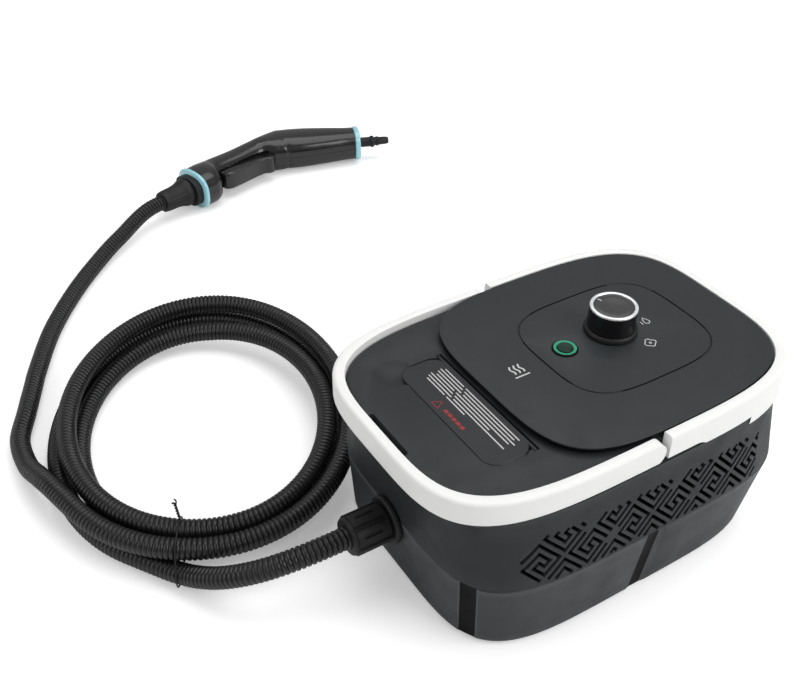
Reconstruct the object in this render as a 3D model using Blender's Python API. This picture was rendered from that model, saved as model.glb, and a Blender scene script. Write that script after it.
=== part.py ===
"""Canister steam cleaner with a coiled hose and a trigger gun.

Units are metres, +Z is up. The origin is the middle of the main unit's flat underside. +X runs towards the end
with the control panel, the hose leaves the other end, and -Y is the side that carries the near vent band.
"""
import math

import bmesh
import bpy
from mathutils import Matrix, Vector

for leftover in list(bpy.data.objects):
    bpy.data.objects.remove(leftover, do_unlink=True)

# General fits
gap = 0.0003
slit = 0.0008
overrun = 0.003
wall = 0.0025
cover_wall = 0.0022
merge = 0.00001

# Fineness of the round shapes
outline_points = 40
round_sides = 24
small_sides = 12
tube_resolution = 2

# Heights of the main unit, from its flat underside, each level a rise above the one below
foot_height = 0.0015
edge_height = 0.005
seam_height = 0.058
wall_rise = 0.0505
lip_rise = 0.006
lip_edge = 0.003
deck_rise = 0.0155
panel_rise = 0.0055
neck_height = seam_height + wall_rise
lip_height = neck_height + lip_rise
belt_height = lip_height + lip_edge
deck_height = belt_height + deck_rise
panel_height = deck_height + panel_rise
table = -foot_height

# Reach of each outline from the origin, hose end first, then panel end, then half width
sole_hose_end = 0.127
sole_panel_end = 0.128
sole_half_width = 0.096
edge_hose_end = 0.133
edge_panel_end = 0.134
edge_half_width = 0.102
seam_hose_end = 0.137
seam_panel_end = 0.148
seam_half_width = 0.1055
belt_hose_end = 0.138
belt_panel_end = 0.147
belt_half_width = 0.0998
pan_power = 4.6
body_power = 4.0
pan_wall = 0.0036

# White band: the carry handle round the hose end and the fixed trim round the panel end
band_reach = 0.152
band_half_width = 0.1004
band_thickness = 0.0074
band_seat = 0.0007
band_proud = 0.004
band_bottom = belt_height + band_seat
band_top = deck_height + band_proud
band_round = 0.0022
handle_pivot_x = -0.0066
handle_gap = 0.0030
trim_lap = 0.0005
trim_lift = 0.0035
trim_top = panel_height
trim_low = neck_height + trim_lap
trim_step = belt_height + trim_lift
trim_slope_start = 0.031
trim_slope_end = 0.058
pin_radius = 0.0026
pin_grip = 0.0045
pin_head_radius = 0.0044
pin_head = 0.0020

# Raised control panel
panel_length = 0.210
panel_power = 3.95
panel_skirt = 0.0022
ring_centre_x = 0.046
ring_half_length = 0.062
ring_half_width = 0.052
ring_power = 3.6
ring_width = 0.0012
ring_depth = 0.0006

# Dial and power button
dial_x = 0.047
dial_y = 0.0056
dial_radius = 0.0169
dial_height = 0.0216
dial_skirt_radius = 0.0190
dial_skirt_height = 0.0045
dial_ring_height = 0.0016
dial_ring_width = 0.0026
shaft_radius = 0.0030
button_x = 0.0055
button_y = 0.005
button_radius = 0.0056
button_proud = 0.0010
button_travel = 0.0015
button_stem = 0.0066
lamp_radius = 0.0093
lamp_thickness = 0.0009

# Filler lid, the well under it and the finger dimple beside it
lid_hose_end = 0.104
lid_near = 0.060
lid_far = 0.050
lid_thickness = 0.0022
lid_corner = 0.012
lid_clearance = 0.0006
lid_setback = 0.0030
tray_depth = 0.0075
tray_margin = 0.0035
hinge_pin_radius = 0.0007
knuckle_radius = 0.0016
dimple_x = -0.106
dimple_y = 0.049
dimple_radius = 0.015
dimple_depth = 0.0036
notch_width = 0.044
notch_depth = 0.0050
notch_height = 0.0085
notch_backing = 0.0022

# Vent band
vent_columns = 8
vent_pitch = 0.027
vent_low_margin = 0.008
vent_high_margin = 0.0075
vent_low = seam_height + vent_low_margin
vent_high = neck_height - vent_high_margin
vent_slot = 0.0032
vent_middle = 0.008
vent_lean = math.radians(38)

# Recesses in the base, one in the middle of each side and one by each corner
recess_width = 0.020
recess_floor = 0.010
recess_depth = 0.0018
recess_bottom = 0.001
recess_reach = 0.020
corner_recess_angle = math.radians(29)

# Feet, bosses and screws
foot_radius = 0.010
foot_recess = 0.0010
foot_x = 0.068
foot_y = 0.070
boss_hose_x = -0.094
boss_panel_x = 0.105
boss_y = 0.069
boss_sunk = 0.001
boss_radius = 0.0045
boss_lift = 0.004
boss_split = seam_height + boss_lift
screw_radius = 0.0015
screw_head_radius = 0.0030
screw_head = 0.0020
screw_length = 0.075
countersink = 0.0026

# Water tank
tank_hose_end = 0.107
tank_panel_end = -0.020
tank_half_width = 0.062
tank_power = 6.0
tank_stand = 0.014
tank_headroom = 0.0055
tank_low = seam_height + tank_stand
tank_high = belt_height - tank_headroom
tank_wall = 0.0020
neck_x = -0.086
neck_y = -0.005
neck_bore = 0.0120
neck_wall = 0.0020
neck_sunk = 0.0068
neck_top = deck_height - neck_sunk
seal_height = 0.0030
seal_width = 0.0034
tank_spout_x = -0.040
tank_spout_y = 0.050
spout_radius = 0.0045
spout_length = 0.006
tank_rest_width = 0.010

# Boiler, its bracket, thermostat and thermal fuse
boiler_low_x = -0.004
boiler_high_x = 0.074
boiler_low_y = -0.052
boiler_high_y = 0.030
boiler_bottom = 0.016
boiler_top = 0.056
boiler_round = 0.005
boiler_inlet_y = -0.042
bracket_plate = 0.0015
bracket_inset = 0.006
thermostat_x = 0.025
thermostat_y = -0.012
thermostat_radius = 0.009
thermostat_height = 0.008
fuse_x = 0.055
fuse_radius = 0.0028
fuse_length = 0.018

# Pump and its cradle
pump_x = 0.104
pump_z = 0.029
pump_radius = 0.0165
pump_half_length = 0.030
pump_port_radius = 0.0038
pump_port_length = 0.007
cradle_half_width = 0.013
cradle_half_length = 0.018

# Control board
board_low_x = -0.018
board_high_x = 0.112
board_half_width = 0.050
board_drop = 0.0047
board_bottom = belt_height - board_drop
board_thickness = 0.0016
post_radius = 0.0032
post_inset = 0.008
switch_half = 0.0075
switch_height = 0.0130

# Hose gland on the end wall
gland_y = 0.004
gland_z = 0.050
gland_inner_x = -0.126
gland_wall_x = -0.1382
gland_neck_radius = 0.0122
gland_flange_radius = 0.0180
gland_flange = 0.0034
nut_radius = 0.0147
nut_length = 0.0290
nut_mouth = 0.0095
steam_bore = 0.0040
steam_tube_radius = 0.0030
pressure_tube_radius = 0.0020

# Mains inlet gland
inlet_x = 0.1485
inlet_y = 0.040
inlet_z = 0.034
inlet_radius = 0.0080
inlet_flange_radius = 0.0110
inlet_inner_x = 0.126
inlet_dimple = 0.0030
inlet_dimple_radius = 0.0036

# Hose
hose_radius = 0.0080
hose_valley = 0.0071
hose_bore = 0.0055
rib_pitch = 0.0200
coil_x = -0.1934
coil_y = 0.2001
coil_yaw = math.radians(-31.9)
coil_half_width = 0.0953
coil_half_depth = 0.1188
coil_skew_share = -0.1067
coil_spread_share = 0.8
strand_gap = 0.0016
coil_start_turn = 0.06
coil_end_turn = 3.12
coil_reverse_turn = 1.5
coil_points_per_turn = 48
tie_turn = 1.01
tie_wire = 0.0006
tie_clearance = 0.0006

# Free stretches of the hose, chosen by hand
lead_route = (
    (-0.2018, 0.0064, 0.0479),
    (-0.2208, 0.0128, 0.0423),
    (-0.2358, 0.0224, 0.0347),
    (-0.2483, 0.0351, 0.0257),
    (-0.2576, 0.0482, 0.0179),
    (-0.2655, 0.0616, 0.0119),
)
tail_route = (
    (-0.3260, 0.2030, 0.0185),
    (-0.3290, 0.2280, 0.0105),
    (-0.3260, 0.2630, 0.0066),
    (-0.3120, 0.2940, 0.0066),
    (-0.2985, 0.3230, 0.0066),
    (-0.2865, 0.3480, 0.0066),
    (-0.2595, 0.3965, 0.0066),
    (-0.2235, 0.4450, 0.0066),
    (-0.1880, 0.4830, 0.0075),
    (-0.1540, 0.5100, 0.0118),
)

# Gun, in its own plane: the barrel runs along +X from the bend, the handle goes back and down from it
gun_rear_x = -0.0500
gun_rear_y = 0.5550
gun_yaw = math.radians(-20)
handle_slope = math.radians(35.7)
handle_length = 0.125
barrel_length = 0.0865
gun_half_height = 0.0245
gun_half_width = 0.0200
gun_wall = 0.0022
gun_power = 2.6
gun_points = 20
shell_split = 0.00015
handle_section_shares = (
    (1.00, 0.98, -0.98, 0.98),
    (0.91, 1.00, -0.98, 1.00),
    (0.83, 1.00, -0.80, 0.96),
    (0.77, 1.00, -0.30, 0.86),
    (0.50, 0.98, -0.24, 0.82),
    (0.25, 0.98, -0.28, 0.88),
    (0.15, 1.00, -0.72, 0.97),
)
barrel_section_shares = (
    (0.00, 1.00, -1.00, 1.00),
    (0.18, 1.00, -1.00, 1.00),
    (0.58, 0.89, -0.87, 0.94),
    (1.00, 0.71, -0.71, 0.86),
)
trigger_shares = (
    (0.2, 1.24),
    (0.4, 1.24),
    (0.75, 1.0),
)
trigger_tail_shares = (
    (0.55, 1.0),
    (0.15, 0.88),
    (0.0, 0.7),
)
trigger_front = 0.027
trigger_back = 0.095
trigger_top = -0.0025
trigger_bottom = -0.0184
trigger_half_width = 0.0095
trigger_slot_clearance = 0.0012
trigger_pivot_along = 0.019
trigger_pivot_rise = -0.001
trigger_boss_radius = 0.0052
trigger_ear_half_width = 0.0040
trigger_pin_radius = 0.0016
trigger_pin_half = 0.0164
trigger_round = 0.0012
spring_width = 0.0040
spring_thickness = 0.0011
rear_ring_width = 0.0040
rear_ring_proud = 0.0010
collar_width = 0.0075
collar_share = 0.80
muzzle_ring_width = 0.0060
muzzle_ring_proud = 0.0012
muzzle_ring_shares = (0.0, 0.35, 0.65, 1.0)
connector_length = 0.034
connector_rear_radius = 0.0112
connector_mouth = 0.0095
nozzle_socket_depth = 0.006
nozzle_stub_radius = 0.0082
nozzle_radius = 0.0058
nozzle_tip_radius = 0.0040
nozzle_length = 0.042
nozzle_bump = 0.0011
nozzle_bump_share = 0.48
nozzle_bore = 0.0012
switch_along = 0.036
switch_rise = 0.0035
gun_switch_length = 0.018
gun_switch_height = 0.0070
gun_switch_reach = 0.0130
gun_switch_far = 0.0030
gun_tube_radius = 0.0025
gun_tube_rise = 0.0155
gun_tube_handle_shares = (
    (0.88, 0.2),
    (0.68, 0.85),
    (0.4, 1.0),
    (0.15, 0.85),
)
gun_tube_barrel_shares = (
    (0.15, 0.45),
    (0.45, 0.0),
)

# Materials
def material(name, colour, roughness, metallic=0.0):
    made = bpy.data.materials.new(name)
    made.use_nodes = True
    shader = made.node_tree.nodes["Principled BSDF"]
    shader.inputs["Base Color"].default_value = (*colour, 1.0)
    shader.inputs["Roughness"].default_value = roughness
    shader.inputs["Metallic"].default_value = metallic
    return made


charcoal = (0.030, 0.034, 0.037)
dark_grey = (0.036, 0.038, 0.042)
black = (0.008, 0.008, 0.009)
white = (0.84, 0.84, 0.83)
pale_blue = (0.35, 0.62, 0.70)
green = (0.10, 0.50, 0.30)
metal = (0.60, 0.60, 0.60)
tank_tint = (0.60, 0.66, 0.70)
board_green = (0.02, 0.16, 0.06)


# Building meshes
def add(name, vertices, faces, look, smooth_angle=40):
    mesh = bpy.data.meshes.new(name)
    mesh.from_pydata([tuple(v) for v in vertices], [], faces)
    mesh.validate()
    work = bmesh.new()
    work.from_mesh(mesh)
    bmesh.ops.remove_doubles(work, verts=work.verts, dist=merge)
    bmesh.ops.recalc_face_normals(work, faces=work.faces)
    if work.calc_volume(signed=True) < 0:
        bmesh.ops.reverse_faces(work, faces=work.faces)
    work.to_mesh(mesh)
    work.free()
    mesh.shade_smooth()
    mesh.set_sharp_from_angle(angle=math.radians(smooth_angle))
    piece = bpy.data.objects.new(name, mesh)
    bpy.context.scene.collection.objects.link(piece)
    mesh.materials.append(look)
    return piece


def loft(name, rings, look, closed=False, smooth_angle=40):
    """Skin a row of rings of equal length; closed joins the last to the first, otherwise both ends are capped."""
    count = len(rings[0])
    vertices = [point for ring in rings for point in ring]
    faces = []
    spans = len(rings) if closed else len(rings) - 1
    for span in range(spans):
        this = span * count
        following = ((span + 1) % len(rings)) * count
        for index in range(count):
            after = (index + 1) % count
            faces.append((this + index, this + after, following + after, following + index))
    if not closed:
        faces.append(tuple(range(count)))
        faces.append(tuple(range(len(vertices) - count, len(vertices))))
    return add(name, vertices, faces, look, smooth_angle)


def signed_power(value, power):
    return math.copysign(abs(value) ** power, value)


def outline_point(hose_end, panel_end, half_width, z, power, angle, centre_y=0):
    middle = (panel_end - hose_end) / 2
    half = (panel_end + hose_end) / 2
    x = middle + half * signed_power(math.cos(angle), 2 / power)
    y = centre_y + half_width * signed_power(math.sin(angle), 2 / power)
    return Vector((x, y, z))


def outline(hose_end, panel_end, half_width, z, power=None, points=None, centre_y=0):
    """A rounded rectangle (superellipse) from x = -hose_end to x = panel_end."""
    power = power or body_power
    points = points or outline_points
    return [outline_point(hose_end, panel_end, half_width, z, power, math.tau * index / points, centre_y)
            for index in range(points)]


def frame_along(start, direction, upright=(0, 0, 1)):
    """A matrix whose local +Z runs along the direction, at the start point."""
    along = Vector(direction).normalized()
    side = Vector(upright).cross(along)
    if side.length < merge:
        side = Vector((1, 0, 0))
    side.normalize()
    up = along.cross(side)
    turn = Matrix((side, up, along)).transposed().to_4x4()
    return Matrix.Translation(Vector(start)) @ turn


def turned(name, profile, start, direction, look, sides=None, closed=False, smooth_angle=40):
    """Turn (radius, distance) pairs round an axis; a closed profile makes a ring with a bore."""
    sides = sides or round_sides
    rings = []
    for radius, distance in profile:
        ring = []
        for index in range(sides):
            angle = math.tau * index / sides
            ring.append(Vector((radius * math.cos(angle), radius * math.sin(angle), distance)))
        rings.append(ring)
    piece = loft(name, rings, look, closed, smooth_angle)
    piece.matrix_world = frame_along(start, direction)
    return piece


def block(name, low, high, look, bevel=0, segments=2):
    corners = [Vector((x, y, z)) for z in (low[2], high[2]) for y in (low[1], high[1]) for x in (low[0], high[0])]
    faces = [(0, 2, 3, 1), (4, 5, 7, 6), (0, 1, 5, 4), (2, 6, 7, 3), (0, 4, 6, 2), (1, 3, 7, 5)]
    piece = add(name, corners, faces, look)
    if bevel:
        rounding = piece.modifiers.new("rounding", "BEVEL")
        rounding.width = bevel
        rounding.segments = segments
        bake(piece)
    return piece


def prism(name, points, low, high, axis, look, smooth_angle=40):
    """Extrude an outline of 2D points along an axis: 'y' takes points as (x, z), 'z' takes them as (x, y)."""
    def place(point, level):
        if axis == "y":
            return Vector((point[0], level, point[1]))
        return Vector((point[0], point[1], level))
    rings = [[place(point, level) for point in points] for level in (low, high)]
    return loft(name, rings, look, smooth_angle=smooth_angle)


def arc(centre, radius, start, end, steps):
    """Points along a circular arc in a plane, angles in degrees."""
    points = []
    for index in range(steps + 1):
        angle = math.radians(start + (end - start) * index / steps)
        points.append((centre[0] + radius * math.cos(angle), centre[1] + radius * math.sin(angle)))
    return points


def rounded_rectangle(low, high, radius, steps=4):
    points = []
    corners = ((high[0] - radius, high[1] - radius, 0), (low[0] + radius, high[1] - radius, 90),
               (low[0] + radius, low[1] + radius, 180), (high[0] - radius, low[1] + radius, 270))
    for x, y, start in corners:
        points += arc((x, y), radius, start, start + 90, steps)
    return points


def bake(piece):
    """Turn the modifiers on a piece into its mesh."""
    depsgraph = bpy.context.evaluated_depsgraph_get()
    mesh = bpy.data.meshes.new_from_object(piece.evaluated_get(depsgraph))
    piece.modifiers.clear()
    piece.data = mesh


def combine(piece, others, operation):
    """Boolean the other shapes into a piece and remove them."""
    for other in others:
        step = piece.modifiers.new(operation.lower(), "BOOLEAN")
        step.operation = operation
        step.solver = "EXACT"
        step.object = other
        bake(piece)
        bpy.data.objects.remove(other, do_unlink=True)
    piece.data.shade_smooth()
    piece.data.set_sharp_from_angle(angle=math.radians(40))
    while len(piece.data.materials) > 1:
        piece.data.materials.pop()
    return piece


def cut(piece, *cutters):
    return combine(piece, cutters, "DIFFERENCE")


def join(piece, *extras):
    return combine(piece, extras, "UNION")


def common(piece, other):
    return combine(piece, [other], "INTERSECT")


def hub(name, place):
    """An empty on a joint's axis; what moves with the joint is parented to it."""
    empty = bpy.data.objects.new(name, None)
    empty.empty_display_size = dial_radius
    bpy.context.scene.collection.objects.link(empty)
    empty.matrix_world = place if isinstance(place, Matrix) else Matrix.Translation(Vector(place))
    bpy.context.view_layer.update()
    return empty


def carry(empty, *pieces):
    bpy.context.view_layer.update()
    for piece in pieces:
        world = piece.matrix_world.copy()
        piece.parent = empty
        piece.matrix_parent_inverse = empty.matrix_world.inverted()
        piece.matrix_world = world


def stretch(points):
    """A smooth route whose first and last runs are straight and set the direction of the curve between them."""
    points = [Vector(point) for point in points]
    inner = points[1:-1]
    slopes = [(points[index + 1] - points[index - 1]) / 2 for index in range(1, len(points) - 1)]
    slopes[0] = (points[1] - points[0]).normalized() * (points[2] - points[1]).length
    slopes[-1] = (points[-1] - points[-2]).normalized() * (points[-2] - points[-3]).length
    path = [points[0]]
    steps = 8
    for index in range(len(inner) - 1):
        for step in range(steps):
            t = step / steps
            path.append(inner[index] * (2 * t ** 3 - 3 * t ** 2 + 1) + slopes[index] * (t ** 3 - 2 * t ** 2 + t)
                        + inner[index + 1] * (3 * t ** 2 - 2 * t ** 3) + slopes[index + 1] * (t ** 3 - t ** 2))
    return path + [points[-2], points[-1]]


def even_path(path, count):
    """The same path with its points at equal distances."""
    lengths = [0.0]
    for first, second in zip(path, path[1:]):
        lengths.append(lengths[-1] + (second - first).length)
    result = []
    segment = 0
    for index in range(count):
        target = lengths[-1] * index / (count - 1)
        while segment < len(path) - 2 and lengths[segment + 1] < target:
            segment += 1
        span = lengths[segment + 1] - lengths[segment]
        share = (target - lengths[segment]) / span
        result.append(path[segment].lerp(path[segment + 1], share))
    return result


def path_length(path):
    return sum((second - first).length for first, second in zip(path, path[1:]))


def tube(name, path, radius, look, resolution=None, radii=None):
    curve = bpy.data.curves.new(name, "CURVE")
    curve.dimensions = "3D"
    curve.bevel_depth = radius
    curve.bevel_resolution = tube_resolution if resolution is None else resolution
    curve.use_fill_caps = True
    spline = curve.splines.new("POLY")
    spline.points.add(len(path) - 1)
    for index, point in enumerate(path):
        spline.points[index].co = (*point, 1.0)
        spline.points[index].radius = radii[index] if radii else 1.0
    curve.materials.append(look)
    piece = bpy.data.objects.new(name, curve)
    bpy.context.scene.collection.objects.link(piece)
    return piece


def solid_tube(name, path, radius, look, resolution=None, radii=None):
    """A tube turned into a closed mesh."""
    curve = tube(name, path, radius, look, resolution, radii)
    depsgraph = bpy.context.evaluated_depsgraph_get()
    mesh = bpy.data.meshes.new_from_object(curve.evaluated_get(depsgraph))
    bpy.data.objects.remove(curve, do_unlink=True)
    vertices = [vertex.co.copy() for vertex in mesh.vertices]
    faces = [tuple(polygon.vertices) for polygon in mesh.polygons]
    return add(name, vertices, faces, look)


# Sizes that follow from the driving dimensions
deck_reach = band_reach - band_thickness - slit
deck_half_width = band_half_width - band_thickness - slit
panel_hose_end = panel_length - deck_reach
hinge_x = -panel_hose_end - lid_setback
hinge_z = deck_height - knuckle_radius
lid_low = deck_height - lid_thickness
tray_floor = lid_low - gap
wall_top_z = belt_height + gap
pan_floor = pan_wall
handle_pivot_z = (band_bottom + band_top) / 2
handle_end_radius = (band_top - band_bottom) / 2
board_top = board_bottom + board_thickness
panel_under = panel_height - cover_wall
strand_pitch = 2 * hose_radius + strand_gap
plain = material("cutter", white, 0.5)


# Base
def pan_wall_point(angle, z):
    """A point of the pan's outer wall, at an angle of its outline and a height."""
    low = outline_point(edge_hose_end, edge_panel_end, edge_half_width, edge_height, pan_power, angle)
    high = outline_point(seam_hose_end, seam_panel_end, seam_half_width, seam_height, pan_power, angle)
    return low.lerp(high, (z - edge_height) / (seam_height - edge_height))


def recess_cutter(angle):
    """A slot with sloped flanks that follows the lean of the pan's wall at an angle of its outline."""
    low = pan_wall_point(angle, recess_bottom)
    high = pan_wall_point(angle, seam_height)
    small = math.radians(1)
    across = pan_wall_point(angle + small, seam_height) - pan_wall_point(angle - small, seam_height)
    up = (high - low).normalized()
    outward = across.cross(up).normalized()
    shape = [(-recess_floor / 2, -recess_depth), (recess_floor / 2, -recess_depth), (recess_width / 2, 0),
             (recess_width / 2, recess_reach), (-recess_width / 2, recess_reach), (-recess_width / 2, 0)]
    cutter = prism("recess", shape, 0, (high - low).length + overrun, "z", plain)
    turn = Matrix((outward.cross(up), outward, up)).transposed().to_4x4()
    cutter.matrix_world = Matrix.Translation(low) @ turn
    return cutter


def make_base_pan():
    inset = pan_wall
    rings = [
        outline(sole_hose_end, sole_panel_end, sole_half_width, 0, pan_power),
        outline(edge_hose_end, edge_panel_end, edge_half_width, edge_height, pan_power),
        outline(seam_hose_end, seam_panel_end, seam_half_width, seam_height, pan_power),
        outline(seam_hose_end - inset, seam_panel_end - inset, seam_half_width - inset, seam_height, pan_power),
        outline(edge_hose_end - inset, edge_panel_end - inset, edge_half_width - inset, edge_height, pan_power),
        outline(sole_hose_end - inset, sole_panel_end - inset, sole_half_width - inset, pan_floor, pan_power),
    ]
    pan = loft("base_pan", rings, material("pan_plastic", dark_grey, 0.5))
    quarter = math.pi / 2
    cutters = [recess_cutter(quarter), recess_cutter(-quarter)]
    for end in (0, math.pi):
        cutters += [recess_cutter(end + corner_recess_angle), recess_cutter(end - corner_recess_angle)]
    bosses = []
    for x in (boss_hose_x, boss_panel_x):
        for y in (-boss_y, boss_y):
            boss_low = pan_floor - boss_sunk
            bosses.append(turned("boss", [(boss_radius, 0), (boss_radius, boss_split - gap - boss_low)],
                                 (x, y, boss_low), (0, 0, 1), plain, small_sides))
            bore = [(screw_head_radius + gap, -overrun), (screw_head_radius + gap, countersink),
                    (screw_radius + gap, countersink), (screw_radius + gap, boss_split + overrun)]
            cutters.append(turned("bore", bore, (x, y, 0), (0, 0, 1), plain, small_sides))
    cutters.append(turned("gland_hole", [(gland_neck_radius + gap, 0), (gland_neck_radius + gap, 10 * overrun)],
                          (gland_wall_x - 2 * overrun, gland_y, gland_z), (1, 0, 0), plain, round_sides))
    cutters.append(turned("inlet_hole", [(inlet_radius + gap, 0), (inlet_radius + gap, 10 * overrun)],
                          (inlet_inner_x - overrun, inlet_y, inlet_z), (1, 0, 0), plain))
    for x, y in foot_places():
        cutters.append(turned("seat", [(foot_radius + gap, -overrun), (foot_radius + gap, foot_recess)], (x, y, 0),
                              (0, 0, 1), plain, small_sides * 3 // 2))
    join(pan, *bosses)
    cut(pan, *cutters)
    return pan


def make_belt():
    lip = deck_half_width - wall
    lip_reach = deck_reach - wall
    flange_low = belt_height - wall
    rings = [
        outline(seam_hose_end, seam_panel_end, seam_half_width, seam_height + gap, pan_power),
        outline(belt_hose_end, belt_panel_end, belt_half_width, neck_height),
        outline(deck_reach, belt_panel_end, belt_half_width, lip_height),
        outline(deck_reach, belt_panel_end, belt_half_width, belt_height),
        outline(lip_reach - wall, lip_reach - wall, lip - wall, belt_height),
        outline(lip_reach - wall, lip_reach - wall, lip - wall, flange_low),
        outline(belt_hose_end - wall, belt_panel_end - wall, belt_half_width - wall, neck_height),
        outline(seam_hose_end - wall, seam_panel_end - wall, seam_half_width - wall, seam_height + gap, pan_power),
    ]
    belt = loft("belt_casing", rings, material("belt_plastic", charcoal, 0.5), closed=True)
    slots = []
    tall = (vent_high - vent_low) / 2
    for side in (-1, 1):
        for column in range(vent_columns):
            x = vent_middle + (column - (vent_columns - 1) / 2) * vent_pitch
            slot = block("slot", (-vent_slot / 2, -5 * wall, -tall), (vent_slot / 2, 5 * wall, tall), plain)
            slot.location = (x, side * (seam_half_width + belt_half_width) / 2, (vent_low + vent_high) / 2)
            slot.rotation_euler = (0, vent_lean if column % 2 else -vent_lean, 0)
            slots.append(slot)
    slots.append(turned("gland_hole", [(gland_neck_radius + gap, 0), (gland_neck_radius + gap, 10 * overrun)],
                        (gland_wall_x - 2 * overrun, gland_y, gland_z), (1, 0, 0), plain, round_sides))
    cut(belt, *slots)
    return belt


def bowl_profile():
    """Radius and height of a shallow spherical bowl, from its bottom up."""
    sphere_radius = (dimple_radius ** 2 + dimple_depth ** 2) / (2 * dimple_depth)
    steps = 4
    start_share = 0.15
    points = []
    for index in range(steps + 1):
        angle = math.asin(dimple_radius / sphere_radius) * (index + start_share) / (steps + start_share)
        points.append((sphere_radius * math.sin(angle), sphere_radius * (1 - math.cos(angle))))
    return points


def make_top_deck():
    skirt_low = wall_top_z
    rings = [
        outline(deck_reach, deck_reach, deck_half_width, skirt_low),
        outline(deck_reach, deck_reach, deck_half_width, deck_height - slit),
        outline(deck_reach - slit, deck_reach - slit, deck_half_width - slit, deck_height),
    ]
    outer = loft("top_deck", rings, material("deck_plastic", charcoal, 0.4))
    inner_rings = [
        outline(deck_reach - wall, deck_reach - wall, deck_half_width - wall, skirt_low - overrun),
        outline(deck_reach - wall, deck_reach - wall, deck_half_width - wall, deck_height - wall),
    ]
    cut(outer, loft("inside", inner_rings, plain))
    lid_right = hinge_x + knuckle_radius
    tray_low = (-lid_hose_end - tray_margin, -lid_near - tray_margin, deck_height - tray_depth)
    tray_high = (lid_right + tray_margin, lid_far + tray_margin, deck_height - slit)
    tray = block("tray", tray_low, tray_high, plain)
    dish = turned("dish", [(dimple_radius + wall, 0), (dimple_radius + wall, tray_depth - slit)],
                  (dimple_x, dimple_y, deck_height - tray_depth), (0, 0, 1), plain)
    backing = block("backing", (-deck_reach + wall / 2, -notch_width / 2 - notch_backing, skirt_low),
                    (-deck_reach + notch_depth + notch_backing, notch_width / 2 + notch_backing,
                     deck_height - slit), plain)
    join(outer, tray, dish, backing)
    pocket = prism("pocket", rounded_rectangle((-lid_hose_end - lid_clearance, -lid_near - lid_clearance),
                                               (lid_right + lid_clearance, lid_far + lid_clearance), lid_corner),
                   tray_floor, deck_height + overrun, "z", plain)
    hinge_groove = block("groove", (hinge_x - knuckle_radius - lid_clearance, -lid_near - lid_clearance,
                                    hinge_z - knuckle_radius - lid_clearance),
                         (lid_right + lid_clearance, lid_far + lid_clearance, deck_height + overrun), plain)
    pin_bore = turned("pin_bore", [(hinge_pin_radius + gap, 0),
                                   (hinge_pin_radius + gap, lid_near + lid_far + 2 * tray_margin)],
                      (hinge_x, -lid_near - tray_margin + lid_clearance, hinge_z), (0, 1, 0), plain, small_sides)
    dimple = turned("dimple", [(radius, height - dimple_depth) for radius, height in bowl_profile()]
                    + [(dimple_radius, overrun)], (dimple_x, dimple_y, deck_height), (0, 0, 1), plain)
    mouth_radius = neck_bore + neck_wall + 2 * slit
    mouth = turned("mouth", [(mouth_radius, 0), (mouth_radius, 2 * tray_depth)],
                   (neck_x, neck_y, deck_height - tray_depth * 3 / 2), (0, 0, 1), plain)
    notch = prism("notch", rounded_rectangle((-deck_reach - overrun, -notch_width / 2),
                                             (-deck_reach + notch_depth, notch_width / 2), notch_depth / 2, 3),
                  deck_height - notch_height, deck_height + overrun, "z", plain)
    opening = prism("opening", rounded_rectangle((board_low_x - overrun, -board_half_width - overrun),
                                                 (board_high_x + overrun, board_half_width + overrun),
                                                 post_inset, 2),
                    deck_height - 3 * wall, deck_height + overrun, "z", plain)
    cut(outer, pocket, hinge_groove, pin_bore, dimple, mouth, notch, opening)
    return outer


def panel_ring(inset, z):
    """The panel's outline: the deck's own at the panel end, and its own rounded corners at the hose end."""
    reach = deck_reach - inset
    half_width = deck_half_width - inset
    middle = (deck_reach - panel_hose_end) / 2
    share = math.acos((middle / reach) ** (body_power / 2)) * 2 / math.pi
    ring = []
    for index in range(outline_points):
        angle = math.tau * index / outline_points
        if math.cos(angle) >= -merge:
            angle = math.asin(math.sin(angle)) * share
            x = reach * signed_power(math.cos(angle), 2 / body_power)
            y = half_width * signed_power(math.sin(angle), 2 / body_power)
        else:
            x = middle + (panel_length / 2 - inset) * signed_power(math.cos(angle), 2 / panel_power)
            y = half_width * signed_power(math.sin(angle), 2 / panel_power)
        ring.append(Vector((x, y, z)))
    return ring


def make_panel():
    rings = [panel_ring(0, deck_height + gap), panel_ring(0, panel_height - 2 * slit),
             panel_ring(slit, panel_height - slit / 2), panel_ring(2 * slit, panel_height)]
    panel = loft("control_panel", rings, material("panel_plastic", charcoal, 0.35), smooth_angle=50)
    cut(panel, loft("inside", [panel_ring(panel_skirt, deck_height - overrun), panel_ring(panel_skirt, panel_under)],
                    plain))
    posts = []
    for x in (board_low_x + post_inset, board_high_x - post_inset):
        for y in (-board_half_width + post_inset, board_half_width - post_inset):
            posts.append(turned("post", [(post_radius, 0), (post_radius, panel_under - board_top)],
                                (x, y, board_top + gap), (0, 0, 1), plain, small_sides))
    join(panel, *posts)
    half_turn = ring_width / 2
    groove = loft("groove", [
        outline(ring_half_length + side * half_turn - ring_centre_x, ring_half_length + side * half_turn
                + ring_centre_x, ring_half_width + side * half_turn, z, ring_power, outline_points * 2 // 3)
        for side, z in ((1, panel_height - ring_depth), (1, panel_height + overrun),
                        (-1, panel_height + overrun), (-1, panel_height - ring_depth))], plain, closed=True)
    shaft_hole = turned("shaft_hole", [(shaft_radius + slit, 0), (shaft_radius + slit, 3 * overrun)],
                        (dial_x, dial_y, panel_under - overrun), (0, 0, 1), plain, small_sides)
    button_hole = turned("button_hole", [(button_radius + gap, 0), (button_radius + gap, 3 * overrun)],
                         (button_x, button_y, panel_under - overrun), (0, 0, 1), plain)
    cut(panel, groove, shaft_hole, button_hole)
    return panel


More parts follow.
